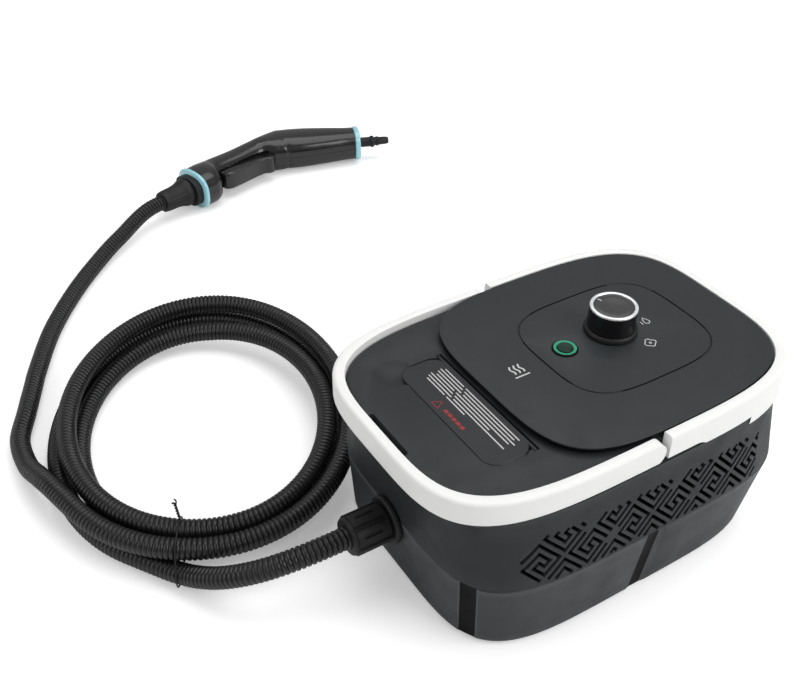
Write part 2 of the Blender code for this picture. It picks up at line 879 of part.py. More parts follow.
# White band
def band_ring(name, low, high, look):
    inner_reach = band_reach - band_thickness
    inner_width = band_half_width - band_thickness
    soft = band_round
    rings = [
        outline(band_reach - soft, band_reach - soft, band_half_width - soft, low),
        outline(band_reach, band_reach, band_half_width, low + soft),
        outline(band_reach, band_reach, band_half_width, high - soft),
        outline(band_reach - soft, band_reach - soft, band_half_width - soft, high),
        outline(inner_reach, inner_reach, inner_width, high),
        outline(inner_reach, inner_reach, inner_width, low),
    ]
    return loft(name, rings, look, closed=True, smooth_angle=50)


def make_handle():
    handle = band_ring("carry_handle", band_bottom, band_top, material("handle_plastic", white, 0.35))
    reach = band_half_width + overrun
    far = -band_reach - overrun
    stadium = arc((handle_pivot_x, handle_pivot_z), handle_end_radius, -90, 90, 8)
    stadium += [(handle_pivot_x, band_top + overrun), (far, band_top + overrun), (far, band_bottom - overrun),
                (handle_pivot_x, band_bottom - overrun)]
    common(handle, prism("keep", stadium, -reach, reach, "y", plain))
    bore_start = deck_half_width - overrun
    bore_end = band_half_width - band_thickness + pin_grip + gap
    bores = []
    for side in (-1, 1):
        bores.append(turned("bore", [(pin_radius + gap, 0), (pin_radius + gap, bore_end - bore_start)],
                            (handle_pivot_x, side * bore_start, handle_pivot_z), (0, side, 0), plain, small_sides))
    cut(handle, *bores)
    return handle


def make_handle_pins(deck):
    """Each pivot pin sits in the deck's side wall with its head inside."""
    steel = material("pin_steel", metal, 0.3, 1.0)
    inside = deck_half_width - wall
    tip = band_half_width - band_thickness + pin_grip
    for name, side in (("handle_pin_near", -1), ("handle_pin_far", 1)):
        turned(name, [(pin_head_radius, 0), (pin_head_radius, pin_head), (pin_radius, pin_head),
                      (pin_radius, pin_head + gap + tip - inside)],
               (handle_pivot_x, side * (inside - pin_head - gap), handle_pivot_z), (0, side, 0), steel, small_sides)
        cut(deck, turned("hole", [(pin_head_radius + gap, 0), (pin_head_radius + gap, 2 * overrun),
                                  (pin_radius + gap, 2 * overrun), (pin_radius + gap, 4 * overrun)],
                         (handle_pivot_x, side * (inside - 2 * overrun), handle_pivot_z), (0, side, 0), plain,
                         small_sides))


def make_trim():
    trim = band_ring("rear_trim", trim_low, trim_top, material("trim_plastic", white, 0.35))
    start = handle_pivot_x + handle_end_radius + handle_gap
    reach = band_half_width + overrun
    lip_out = outline(deck_reach, belt_panel_end + slit, belt_half_width + slit, trim_low - overrun)
    lip_top = outline(deck_reach, belt_panel_end + slit, belt_half_width + slit, wall_top_z)
    middle = (trim_slope_start + trim_slope_end) / 2
    half = (trim_slope_end - trim_slope_start) / 2
    slope = []
    steps = 6
    for index in range(steps + 1):
        share = index / steps
        rise = (1 - math.cos(math.pi * share)) / 2
        slope.append((middle - half + 2 * half * share, trim_step + (trim_low - trim_step) * rise))
    below = [(start - 2 * overrun, trim_step)] + slope + [(trim_slope_end, trim_low - overrun),
                                                         (start - 2 * overrun, trim_low - overrun)]
    far = -band_reach - overrun
    beyond = [(start, trim_low - 2 * overrun), (start, trim_top + overrun), (far, trim_top + overrun),
              (far, trim_low - 2 * overrun)]
    cut(trim, prism("beyond", beyond, -reach, reach, "y", plain), prism("below", below, -reach, reach, "y", plain),
        loft("belt_room", [lip_out, lip_top], plain))
    return trim


# Filler lid
def make_lid():
    lid_right = hinge_x
    rings = rounded_rectangle((-lid_hose_end, -lid_near), (lid_right, lid_far), lid_corner - lid_clearance)
    lid = prism("filler_lid", rings, lid_low, deck_height, "z", material("lid_plastic", dark_grey, 0.35))
    knuckle = turned("knuckle", [(knuckle_radius, 0), (knuckle_radius, lid_near + lid_far)],
                     (hinge_x, -lid_near, hinge_z), (0, 1, 0), plain, small_sides)
    bore = turned("bore", [(hinge_pin_radius + gap, 0), (hinge_pin_radius + gap, lid_near + lid_far + 2 * overrun)],
                  (hinge_x, -lid_near - overrun, hinge_z), (0, 1, 0), plain, small_sides)
    join(lid, knuckle)
    cut(lid, bore)
    return lid


def make_lid_pin():
    reach = tray_margin - 2 * lid_clearance
    return turned("lid_hinge_pin", [(hinge_pin_radius, 0), (hinge_pin_radius, lid_near + lid_far + 2 * reach)],
                  (hinge_x, -lid_near - reach, hinge_z), (0, 1, 0), material("pin_wire", metal, 0.3, 1.0),
                  small_sides)


def make_lid_seal():
    middle = neck_bore + neck_wall / 2
    inner = middle - seal_width / 2
    outer = middle + seal_width / 2
    top = lid_low - gap
    bottom = neck_top + gap
    return turned("lid_seal", [(outer, top), (outer, bottom), (inner, bottom), (inner, top)], (neck_x, neck_y, 0),
                  (0, 0, 1), material("seal_rubber", black, 0.8), closed=True)


# Dial and power button
def make_dial():
    base = panel_height + gap
    crown = panel_height + dial_height
    cap_top = crown - dial_ring_height / 2
    inner = dial_radius - dial_ring_width
    black_plastic = material("dial_plastic", black, 0.3)
    skirt = turned("dial_skirt", [
        (dial_skirt_radius, base), (dial_skirt_radius, base + dial_skirt_height - slit),
        (dial_skirt_radius - slit, base + dial_skirt_height), (dial_radius - wall, base + dial_skirt_height),
        (dial_radius - wall, base)], (dial_x, dial_y, 0), (0, 0, 1), material("skirt_plastic", dark_grey, 0.5),
        closed=True)
    body = turned("dial_body", [
        (dial_radius - wall - gap, base), (dial_radius - wall - gap, base + dial_skirt_height + gap),
        (dial_radius, base + dial_skirt_height + gap), (dial_radius, crown - dial_ring_height - gap),
        (shaft_radius + gap, crown - dial_ring_height - gap), (shaft_radius + gap, base)],
        (dial_x, dial_y, 0), (0, 0, 1), black_plastic, closed=True)
    ring = turned("dial_ring", [
        (dial_radius, crown - dial_ring_height), (dial_radius, crown - slit / 2), (dial_radius - slit / 2, crown),
        (inner, crown), (inner, crown - dial_ring_height)], (dial_x, dial_y, 0), (0, 0, 1),
        material("ring_chrome", white, 0.25, 0.6), closed=True)
    cap = turned("dial_cap", [(inner - gap, crown - dial_ring_height), (inner - gap, cap_top - slit / 2),
                              (inner - slit, cap_top)], (dial_x, dial_y, 0), (0, 0, 1),
                 material("cap_plastic", dark_grey, 0.25))
    shaft_low = board_top + gap + switch_height / 2
    shaft = turned("dial_shaft", [(shaft_radius, shaft_low), (shaft_radius, crown - dial_ring_height - 2 * gap)],
                   (dial_x, dial_y, 0), (0, 0, 1), material("shaft_metal", metal, 0.35, 1.0), small_sides)
    return skirt, body, ring, cap, shaft


def make_dial_switch():
    low = board_top + gap
    switch = block("dial_switch", (dial_x - switch_half, dial_y - switch_half, low),
                   (dial_x + switch_half, dial_y + switch_half, low + switch_height),
                   material("switch_body", black, 0.5))
    cut(switch, turned("bore", [(shaft_radius + gap, 0), (shaft_radius + gap, switch_height)],
                       (dial_x, dial_y, low + switch_height / 2 - gap), (0, 0, 1), plain, small_sides))
    return switch


def make_button():
    lamp_low = panel_height + gap
    lamp = turned("button_ring", [
        (lamp_radius, lamp_low), (lamp_radius, lamp_low + lamp_thickness / 2),
        (lamp_radius - lamp_thickness / 2, lamp_low + lamp_thickness),
        (button_radius + gap, lamp_low + lamp_thickness), (button_radius + gap, lamp_low)],
        (button_x, button_y, 0), (0, 0, 1), material("lamp_green", green, 0.4), closed=True)
    top = lamp_low + lamp_thickness + button_proud
    button = turned("power_button", [(button_radius, top - button_stem), (button_radius, top - slit),
                                     (button_radius - slit, top)], (button_x, button_y, 0), (0, 0, 1),
                    material("button_plastic", black, 0.35))
    low = board_top + gap
    half = switch_half * 2 / 3
    stem_top = top - button_stem - button_travel - gap
    switch = block("button_switch", (button_x - half, button_y - half, low),
                   (button_x + half, button_y + half, stem_top), material("push_switch", black, 0.5))
    return lamp, button, switch


# Feet and screws
def foot_places():
    centre = (seam_panel_end - seam_hose_end) / 4
    return [(centre + x * foot_x, y * foot_y) for x, y in ((-1, -1), (1, -1), (1, 1), (-1, 1))]


def make_feet():
    """Rubber feet, each set into a shallow seat in the pan."""
    rubber = material("foot_rubber", black, 0.9)
    tall = foot_height + foot_recess - gap
    for number, (x, y) in enumerate(foot_places(), 1):
        turned("foot_%d" % number, [(foot_radius - slit, 0), (foot_radius, slit), (foot_radius, tall)],
               (x, y, -foot_height), (0, 0, 1), rubber, small_sides * 3 // 2)


def make_casing_screws(deck):
    """Four screws up through the pan's bosses into the deck's posts."""
    steel = material("screw_steel", metal, 0.35, 1.0)
    posts = []
    holes = []
    post_top = deck_height - wall + boss_sunk
    for x in (boss_hose_x, boss_panel_x):
        for y in (-boss_y, boss_y):
            posts.append(turned("post", [(boss_radius, 0), (boss_radius, post_top - boss_split)],
                                (x, y, boss_split), (0, 0, 1), plain, small_sides))
            holes.append(turned("bore", [(screw_radius + gap, 0),
                                         (screw_radius + gap, screw_length + countersink + gap - boss_split + slit)],
                                (x, y, boss_split - slit), (0, 0, 1), plain, small_sides))
            turned("casing_screw_%d" % len(holes), [
                (screw_head_radius, 0), (screw_head_radius, screw_head), (screw_radius, screw_head),
                (screw_radius, screw_length)], (x, y, countersink - gap - screw_head), (0, 0, 1), steel, small_sides)
    join(deck, *posts)
    cut(deck, *holes)


# Water tank
def round_at(radius, z):
    return outline(-neck_x + radius, neck_x + radius, radius, z, 2.0, round_sides * 4 // 3, neck_y)


def tank_ring(inset, z):
    return outline(tank_hose_end - inset, tank_panel_end - inset, tank_half_width - inset, z, tank_power,
                   round_sides * 4 // 3)


def make_tank():
    soft = 2 * tank_wall
    thick = tank_wall
    rings = [
        tank_ring(soft, tank_low), tank_ring(0, tank_low + soft), tank_ring(0, tank_high - soft),
        tank_ring(soft, tank_high), round_at(neck_bore + neck_wall, tank_high),
        round_at(neck_bore + neck_wall, neck_top), round_at(neck_bore, neck_top),
        round_at(neck_bore, tank_high - thick), tank_ring(soft + thick, tank_high - thick),
        tank_ring(thick, tank_high - soft - thick), tank_ring(thick, tank_low + soft + thick),
        tank_ring(soft + thick, tank_low + thick),
    ]
    tank = loft("water_tank", rings, material("tank_plastic", tank_tint, 0.3))
    spout = turned("spout", [(spout_radius, 0), (spout_radius, spout_length + thick / 2)],
                   (tank_spout_x, tank_spout_y, tank_low - spout_length), (0, 0, 1), plain, small_sides)
    bore = turned("bore", [(spout_radius / 2, 0), (spout_radius / 2, 2 * spout_length)],
                  (tank_spout_x, tank_spout_y, tank_low - spout_length - overrun), (0, 0, 1), plain, small_sides)
    join(tank, spout)
    cut(tank, bore)
    return tank


def add_tank_rests(pan):
    rests = []
    for x in (neck_x, tank_panel_end - 2 * tank_rest_width):
        for y in (-tank_half_width / 2, tank_half_width / 2):
            rests.append(turned("rest", [(tank_rest_width / 2, 0), (tank_rest_width / 2, tank_low - gap - pan_floor
                                                                    + boss_sunk)],
                                (x, y, pan_floor - boss_sunk), (0, 0, 1), plain, small_sides))
    join(pan, *rests)


# Boiler
def make_boiler():
    boiler = block("boiler", (boiler_low_x, boiler_low_y, boiler_bottom), (boiler_high_x, boiler_high_y, boiler_top),
                   material("boiler_casting", metal, 0.45, 1.0), boiler_round)
    outlet = turned("outlet", [(spout_radius, 0), (spout_radius, spout_length + boiler_round)],
                    (boiler_low_x + boiler_round, gland_y, gland_z - spout_length), (-1, 0, 0), plain, small_sides)
    inlet = turned("inlet", [(spout_radius, 0), (spout_radius, spout_length + boiler_round)],
                   (boiler_high_x - boiler_round, boiler_inlet_y, pump_z), (1, 0, 0), plain, small_sides)
    join(boiler, outlet, inlet)
    low_x = boiler_low_x + bracket_inset
    high_x = boiler_high_x - bracket_inset
    low_z = pan_floor + gap
    high_z = boiler_bottom - gap
    thick = bracket_plate
    channel = [(low_x, low_z), (low_x, high_z), (high_x, high_z), (high_x, low_z), (high_x - thick, low_z),
               (high_x - thick, high_z - thick), (low_x + thick, high_z - thick), (low_x + thick, low_z)]
    bracket = prism("boiler_bracket", channel, boiler_low_y + bracket_inset, boiler_high_y - bracket_inset, "y",
                    material("bracket_steel", metal, 0.4, 1.0))
    base = boiler_top + gap
    shoulder = base + thermostat_height / 2
    cap_radius = thermostat_radius * 2 / 3
    thermostat = turned("thermostat", [
        (thermostat_radius, base), (thermostat_radius, shoulder), (cap_radius, shoulder),
        (cap_radius, base + thermostat_height)], (thermostat_x, thermostat_y, 0), (0, 0, 1),
        material("thermostat_body", metal, 0.4, 1.0), small_sides * 3 // 2)
    fuse = turned("thermal_fuse", [(fuse_radius, 0), (fuse_radius, fuse_length)],
                  (fuse_x, thermostat_y - fuse_length / 2, base + fuse_radius), (0, 1, 0),
                  material("fuse_body", white, 0.6), small_sides)
    return boiler, bracket, thermostat, fuse


# Pump
def make_pump():
    port_end = pump_half_length + pump_port_length
    pump = turned("pump", [(pump_port_radius, -port_end), (pump_port_radius, -pump_half_length),
                           (pump_radius, -pump_half_length), (pump_radius, pump_half_length),
                           (pump_port_radius, pump_half_length), (pump_port_radius, port_end)],
                  (pump_x, 0, pump_z), (0, 1, 0), material("pump_body", black, 0.5))
    ring = pump_radius + gap
    spread = math.degrees(math.asin(cradle_half_width / ring))
    points = [(pump_x - cradle_half_width, pan_floor + gap), (pump_x + cradle_half_width, pan_floor + gap)]
    points += arc((pump_x, pump_z), ring, -90 + spread, -90 - spread, 6)
    cradle = prism("pump_cradle", points, -cradle_half_length, cradle_half_length, "y",
                   material("cradle_rubber", black, 0.85))
    return pump, cradle


def make_board():
    return block("control_board", (board_low_x, -board_half_width, board_bottom),
                 (board_high_x, board_half_width, board_top), material("board_laminate", board_green, 0.5))


# Inner tubes and wires
def inner_tube(name, points, radius, look):
    return tube(name, even_path(stretch(points), 3 * len(points)), radius, look, 1)


def make_inner_tubes():
    outlet_x = boiler_low_x - spout_length - gap
    steam_z = gland_z - spout_length
    steam = inner_tube("steam_tube", [
        (outlet_x, gland_y, steam_z), (outlet_x - 4 * spout_length, gland_y, steam_z),
        (gland_inner_x + 4 * spout_length, gland_y, gland_z), (gland_inner_x + gap, gland_y, gland_z)],
        steam_tube_radius, material("steam_hose", white, 0.5))
    low = tank_low - spout_length - gap
    port_y = pump_half_length + pump_port_length + gap
    side_y = boiler_high_y + 4 * spout_radius
    suction = inner_tube("suction_tube", [
        (tank_spout_x, tank_spout_y, low), (tank_spout_x, tank_spout_y, low - spout_length),
        (tank_spout_x + 2 * spout_length, side_y, low - 4 * spout_length),
        (boiler_low_x + 4 * spout_length, side_y, pump_z + spout_length),
        (boiler_high_x, side_y + spout_length / 2, pump_z), (pump_x - spout_length, side_y, pump_z),
        (pump_x, port_y + spout_radius, pump_z), (pump_x, port_y, pump_z)],
        steam_tube_radius, material("suction_hose", tank_tint, 0.4))
    inlet_end = boiler_high_x + spout_length + gap
    pressure = inner_tube("pressure_tube", [
        (pump_x, -port_y, pump_z), (pump_x, -port_y - spout_radius, pump_z),
        (pump_x - spout_radius, -port_y - spout_radius * 5 / 2, pump_z),
        (inlet_end + 3 * spout_radius, -port_y - spout_radius * 5 / 2, pump_z),
        (inlet_end + spout_radius, boiler_inlet_y, pump_z), (inlet_end, boiler_inlet_y, pump_z)],
        pressure_tube_radius, material("pressure_hose", white, 0.4))
    wire_x = board_high_x - 2 * post_inset
    mains = inner_tube("mains_wires", [
        (inlet_inner_x - gap, inlet_y, inlet_z), (inlet_inner_x - inlet_radius, inlet_y, inlet_z),
        (wire_x, inlet_y, inlet_z + 3 * inlet_radius), (wire_x, inlet_y, (inlet_z + board_bottom) / 2),
        (wire_x, inlet_y, board_bottom - inlet_radius), (wire_x, inlet_y, board_bottom - gap)],
        inlet_radius / 3, material("mains_insulation", black, 0.6))
    heater_y = boiler_high_y + gap
    heater_x = fuse_x - 2 * boiler_round
    heater_z = boiler_top - 2 * boiler_round
    heater = inner_tube("heater_wires", [
        (fuse_x, heater_y, heater_z), (fuse_x, heater_y + boiler_round, heater_z),
        (heater_x, heater_y + boiler_round * 3 / 2, boiler_top + 2 * boiler_round),
        (heater_x, heater_y, (boiler_top + board_bottom) / 2), (heater_x, heater_y, board_bottom - 2 * boiler_round),
        (heater_x, heater_y, board_bottom - gap)], inlet_radius / 4, material("heater_insulation", white, 0.6))
    return steam, suction, pressure, mains, heater


# Glands
def make_gland():
    neck = gland_inner_x - gland_wall_x
    face = neck + gland_flange
    flange = turned("gland_flange", [
        (gland_neck_radius, 0), (gland_neck_radius, neck), (gland_flange_radius, neck),
        (gland_flange_radius, face - slit), (gland_flange_radius - slit, face), (steam_bore, face), (steam_bore, 0)],
        (gland_inner_x, gland_y, gland_z), (-1, 0, 0), material("gland_plastic", black, 0.45), closed=True)
    soft = 2 * slit
    nut = turned("gland_nut", [
        (nut_radius - slit, 0), (nut_radius, slit), (nut_radius, nut_length - 2 * soft),
        (nut_radius - soft, nut_length), (hose_radius + gap, nut_length), (hose_radius + gap, nut_length - nut_mouth),
        (steam_bore, nut_length - nut_mouth), (steam_bore, 0)],
        (gland_inner_x - face - gap, gland_y, gland_z), (-1, 0, 0), material("nut_plastic", black, 0.4), closed=True)
    return flange, nut


def make_inlet():
    length = inlet_x - inlet_inner_x
    return turned("mains_inlet", [
        (inlet_radius, 0), (inlet_radius, length - gland_flange), (inlet_flange_radius, length - gland_flange),
        (inlet_flange_radius, length - slit), (inlet_flange_radius - slit, length), (inlet_dimple_radius, length),
        (inlet_dimple_radius, length - inlet_dimple)], (inlet_inner_x, inlet_y, inlet_z), (1, 0, 0),
        material("inlet_rubber", black, 0.7), small_sides * 3 // 2)


# Hose
def coil_point(turn):
    """The coil's centre line: it spirals in on the floor, climbs a layer where it reverses, and spirals out.

    The strands lift a little where the tie passes under them.
    """
    angle = math.radians(-90) - math.tau * turn
    away = strand_pitch * abs(coil_reverse_turn - turn)
    climb = min(max((turn - coil_reverse_turn) * 2 + 0.5, 0.0), 1.0)
    climb = climb * climb * (3 - 2 * climb)
    across = (coil_half_width + away) * math.cos(angle) + coil_skew_share * coil_half_depth * math.sin(angle)
    deep = (coil_half_depth + away) * math.sin(angle) + coil_spread_share * away * ((1 + math.sin(angle)) / 2) ** 3
    x = coil_x + across * math.cos(coil_yaw) - deep * math.sin(coil_yaw)
    y = coil_y + across * math.sin(coil_yaw) + deep * math.cos(coil_yaw)
    lift = 2 * (tie_wire + tie_clearance) * max(math.cos(math.tau * (turn - tie_turn)), 0) ** 6
    z = table + hose_radius + lift + strand_pitch * climb
    return Vector((x, y, z))


def coil_direction(turn):
    small = 0.001
    return (coil_point(turn + small) - coil_point(turn - small)).normalized()


def coil_path():
    """The coil with one straight diameter at each end."""
    steps = round((coil_end_turn - coil_start_turn) * coil_points_per_turn)
    turns = [coil_start_turn + (coil_end_turn - coil_start_turn) * index / steps for index in range(steps + 1)]
    start = coil_point(coil_start_turn) - coil_direction(coil_start_turn) * 2 * hose_radius
    end = coil_point(coil_end_turn) + coil_direction(coil_end_turn) * 2 * hose_radius
    return [start] + [coil_point(turn) for turn in turns] + [end]


def lead_path():
    nut_front = gland_wall_x - gland_flange - gap - nut_length
    start = Vector((nut_front + nut_mouth - gap, gland_y, gland_z))
    direction = coil_direction(coil_start_turn)
    end = coil_path()[0] - direction * gap
    points = [start, start + Vector((-2 * hose_radius, 0, 0))] + list(lead_route)
    return stretch(points + [end - direction * 2 * hose_radius, end])


def tail_path():
    direction = coil_direction(coil_end_turn)
    start = coil_path()[-1] + direction * gap
    handle = gun_frame().to_3x3() @ Vector((math.cos(handle_slope), 0, math.sin(handle_slope)))
    back = handle_length + rear_ring_width + collar_width + 3 * gap + connector_length - connector_mouth + gap
    end = gun_frame() @ gun_point(back, 0)
    points = [start, start + direction * 2 * hose_radius] + list(tail_route)
    return stretch(points + [end - handle * 2 * hose_radius, end])


def ribbed_tube(name, path, look):
    """Corrugated hose: every rib is a high and a low point, with the bore cut through."""
    ribs = max(round(path_length(path) / rib_pitch), 1)
    fine = even_path(path, 2 * ribs + 1)
    radii = [1.0 if index % 2 == 0 else hose_valley / hose_radius for index in range(len(fine))]
    hose = solid_tube(name, fine, hose_radius, look, 2, radii)
    plainer = fine[::4]
    if plainer[-1] != fine[-1]:
        plainer.append(fine[-1])
    first = plainer[0] + (plainer[0] - fine[1]).normalized() * overrun
    last = fine[-1] + (fine[-1] - fine[-2]).normalized() * overrun
    bore = solid_tube("bore", [first] + plainer + [last], hose_bore, plain, 1)
    cut(hose, bore)
    return hose, fine


def make_hose():
    look = material("hose_conduit", black, 0.45)
    lead, lead_line = ribbed_tube("hose_lead", lead_path(), look)
    coil, coil_line = ribbed_tube("hose_coil", coil_path(), look)
    tail, tail_line = ribbed_tube("hose_tail", tail_path(), look)
    report_hose(lead_line + coil_line + tail_line)
    return lead, coil, tail


def report_hose(line):
    """Print the hose's length and its least gap to itself, measured on its own points."""
    fine = even_path(line, round(path_length(line) / (hose_radius / 3)))
    along = [0.0]
    for first, second in zip(fine, fine[1:]):
        along.append(along[-1] + (second - first).length)
    least = float("inf")
    for index, point in enumerate(fine):
        for other in range(index + 1, len(fine)):
            if along[other] - along[index] > 6 * hose_radius:
                least = min(least, (fine[other] - point).length_squared)
    clearance = math.sqrt(least) - 2 * hose_radius
    print("hose length %.3f m, least gap to itself %.2f mm" % (along[-1], clearance * 1000))


def make_tie():
    """A wire twist tie round the bundle of strands and the lead beside them."""
    grip = hose_radius + tie_clearance + tie_wire
    along = coil_direction(tie_turn)
    strands = [coil_point(tie_turn + layer) for layer in range(3)]
    lead = lead_path()
    fine = even_path(lead, round(path_length(lead) / tie_wire))
    beside = [point for point in fine if abs((point - strands[0]).dot(along)) < hose_radius / 2]
    strands += [beside[0], beside[-1]]
    middle = sum(strands, Vector()) / len(strands)
    outward = Vector((middle.x - coil_x, middle.y - coil_y, 0)).normalized()
    flat = [((strand - middle).dot(outward), strand.z - middle.z) for strand in strands]
    steps = 28
    ring = []
    for index in range(steps):
        angle = math.tau * index / steps
        heading = (math.cos(angle), math.sin(angle))
        reach = max(u * heading[0] + v * heading[1] for u, v in flat) + grip
        ring.append((angle, reach, heading))
    loop = []
    for index in range(steps):
        angle, reach, heading = ring[index]
        after = ring[(index + 1) % steps]
        before = ring[index - 1]
        turn = (after[1] - before[1]) / (2 * math.tau / steps)
        u = reach * heading[0] - turn * heading[1]
        v = reach * heading[1] + turn * heading[0]
        loop.append(middle + outward * u + Vector((0, 0, v)))
    rings = []
    for point in loop:
        out = (point - middle).normalized()
        ring_points = []
        for side in range(6):
            angle = math.tau * side / 6
            ring_points.append(point + (out * math.cos(angle) + along * math.sin(angle)) * tie_wire)
        rings.append(ring_points)
    return loft("hose_tie", rings, material("tie_wire", black, 0.6), closed=True)


# Gun
def gun_frame():
    """The gun lies on its side: its own plane is level, its barrel points along the yaw."""
    rest = table + max(gun_half_width, gun_half_width * handle_section_shares[0][3] + rear_ring_proud) + gap
    heading = gun_yaw + handle_slope
    bend = Vector((gun_rear_x + handle_length * math.cos(heading), gun_rear_y + handle_length * math.sin(heading),
                   rest))
    turn = Matrix(((math.cos(gun_yaw), 0, -math.sin(gun_yaw)), (math.sin(gun_yaw), 0, math.cos(gun_yaw)),
                   (0, -1, 0))).to_4x4()
    return Matrix.Translation(bend) @ turn


def gun_point(along, rise):
    """A point of the gun's plane, measured back along the handle and up from its axis."""
    return Vector((-along * math.cos(handle_slope) - rise * math.sin(handle_slope), 0,
                   -along * math.sin(handle_slope) + rise * math.cos(handle_slope)))


def section(centre, lean, top, bottom, half_width, power=None):
    power = power or gun_power
    up = Vector((-math.sin(lean), 0, math.cos(lean)))
    ring = []
    for index in range(gun_points):
        angle = math.tau * index / gun_points
        y = half_width * signed_power(math.cos(angle), 2 / power)
        rise = (top + bottom) / 2 + (top - bottom) / 2 * signed_power(math.sin(angle), 2 / power)
        ring.append(centre + up * rise + Vector((0, y, 0)))
    return ring


def gun_rings(inset, extension):
    rings = []
    for index, (distance, top, bottom, width) in enumerate(handle_section_shares):
        along = distance * handle_length + (extension if index == 0 else 0)
        rings.append(section(gun_point(along, 0), handle_slope, top * gun_half_height - inset,
                             bottom * gun_half_height + inset, width * gun_half_width - inset))
    for index, (distance, top, bottom, width) in enumerate(barrel_section_shares):
        along = distance * barrel_length + (extension if index == len(barrel_section_shares) - 1 else 0)
        lean = handle_slope / 2 if index == 0 else 0
        rings.append(section(Vector((along, 0, 0)), lean, top * gun_half_height - inset,
                             bottom * gun_half_height + inset, width * gun_half_width - inset))
    return rings


def gun_prism(name, outline_points_along, low, high, look=None):
    rings = []
    for level in (low, high):
        rings.append([gun_point(along, rise) + Vector((0, level, 0)) for along, rise in outline_points_along])
    return loft(name, rings, look or plain)


def make_gun_shells():
    look = material("gun_plastic", black, 0.2)
    reach = handle_length + barrel_length
    shells = []
    room = trigger_slot_clearance
    for name, side in (("gun_shell_right", -1), ("gun_shell_left", 1)):
        shell = loft(name, gun_rings(0, 0), look)
        hollow = loft("hollow", gun_rings(gun_wall, overrun), plain)
        low, high = (-reach, shell_split) if side > 0 else (-shell_split, reach)
        other_half = block("other_half", (-reach, low, -reach), (reach, high, reach), plain)
        front = trigger_front - room
        back = trigger_back + room
        mouth = [(front, trigger_top + room), (back, trigger_top + room), (back, -2 * gun_half_height),
                 (front, -2 * gun_half_height)]
        slot = gun_prism("slot", mouth, -trigger_half_width - room, trigger_half_width + room)
        cut(shell, other_half, hollow, slot)
        shells.append(shell)
    return shells


def make_trigger():
    foot = trigger_bottom
    outline_along = [(trigger_front, trigger_top), (trigger_front, foot - trigger_round)]
    outline_along += [(trigger_front - along * foot, rise * foot) for along, rise in trigger_shares]
    outline_along += [(trigger_back + along * foot, rise * foot) for along, rise in trigger_tail_shares]
    outline_along.append((trigger_back, trigger_top))
    trigger = gun_prism("trigger", outline_along, -trigger_half_width, trigger_half_width,
                        material("trigger_plastic", black, 0.3))
    soft = trigger.modifiers.new("rounding", "BEVEL")
    soft.width = trigger_round
    soft.segments = 1
    soft.limit_method = "ANGLE"
    bake(trigger)
    boss = arc((trigger_pivot_along, trigger_pivot_rise), trigger_boss_radius, 60, 270, 7)
    ear = boss + [(trigger_front + trigger_boss_radius, trigger_top - trigger_boss_radius),
                  (trigger_front + 2 * trigger_boss_radius, trigger_top - slit)]
    join(trigger, gun_prism("ear", ear, -trigger_ear_half_width, trigger_ear_half_width))
    bore = turned("bore", [(trigger_pin_radius + gap, -trigger_boss_radius),
                           (trigger_pin_radius + gap, trigger_boss_radius)],
                  gun_point(trigger_pivot_along, trigger_pivot_rise), (0, 1, 0), plain, small_sides)
    cut(trigger, bore)
    return trigger


def make_trigger_fittings():
    pivot = gun_point(trigger_pivot_along, trigger_pivot_rise)
    pin = turned("trigger_pin", [(trigger_pin_radius, -trigger_pin_half), (trigger_pin_radius, trigger_pin_half)],
                 pivot, (0, 1, 0), material("trigger_pin_steel", metal, 0.3, 1.0), small_sides)
    inner = trigger_pin_radius + gap
    low = trigger_ear_half_width + gap
    spring = turned("trigger_spring", [
        (inner + spring_thickness, low), (inner + spring_thickness, low + spring_width), (inner, low + spring_width),
        (inner, low)], pivot, (0, 1, 0), material("spring_steel", metal, 0.3, 1.0), small_sides, closed=True)
    low_rise = switch_rise
    high_rise = switch_rise + gun_switch_height
    box = [(switch_along, low_rise), (switch_along + gun_switch_length, low_rise),
           (switch_along + gun_switch_length, high_rise), (switch_along, high_rise)]
    switch = gun_prism("gun_switch", box, -gun_switch_reach, gun_switch_far,
                       material("gun_switch_body", dark_grey, 0.5))
    return pin, spring, switch


def make_gun_tube():
    rear = gun_point(handle_length - gap, 0)
    nose = Vector((barrel_length - nozzle_socket_depth - gap, 0, 0))
    rise = gun_tube_rise
    points = [rear]
    points += [gun_point(along * handle_length, up * rise) for along, up in gun_tube_handle_shares]
    points += [Vector((along * barrel_length, 0, up * rise)) for along, up in gun_tube_barrel_shares]
    points.append(nose)
    path = even_path(stretch(points), 20)
    return tube("gun_steam_tube", path, gun_tube_radius, material("gun_tube_hose", white, 0.5), 1)


def ring_plate(name, start, width, swell, share, bore, look):
    """A plate behind the handle with the handle's outline and a hole for the steam tube."""
    _, top, bottom, half = handle_section_shares[0]
    rings = []
    for offset, grow in ((0, 0), (width / 3, swell), (width * 2 / 3, swell), (width, 0)):
        rings.append(section(gun_point(start + offset, 0), handle_slope, top * gun_half_height * share + grow,
                             bottom * gun_half_height * share - grow, half * gun_half_width * share + grow))
    for offset in (width, 0):
        rings.append(section(gun_point(start + offset, 0), handle_slope, bore, -bore, bore, 2.0))
    return loft(name, rings, look, closed=True)


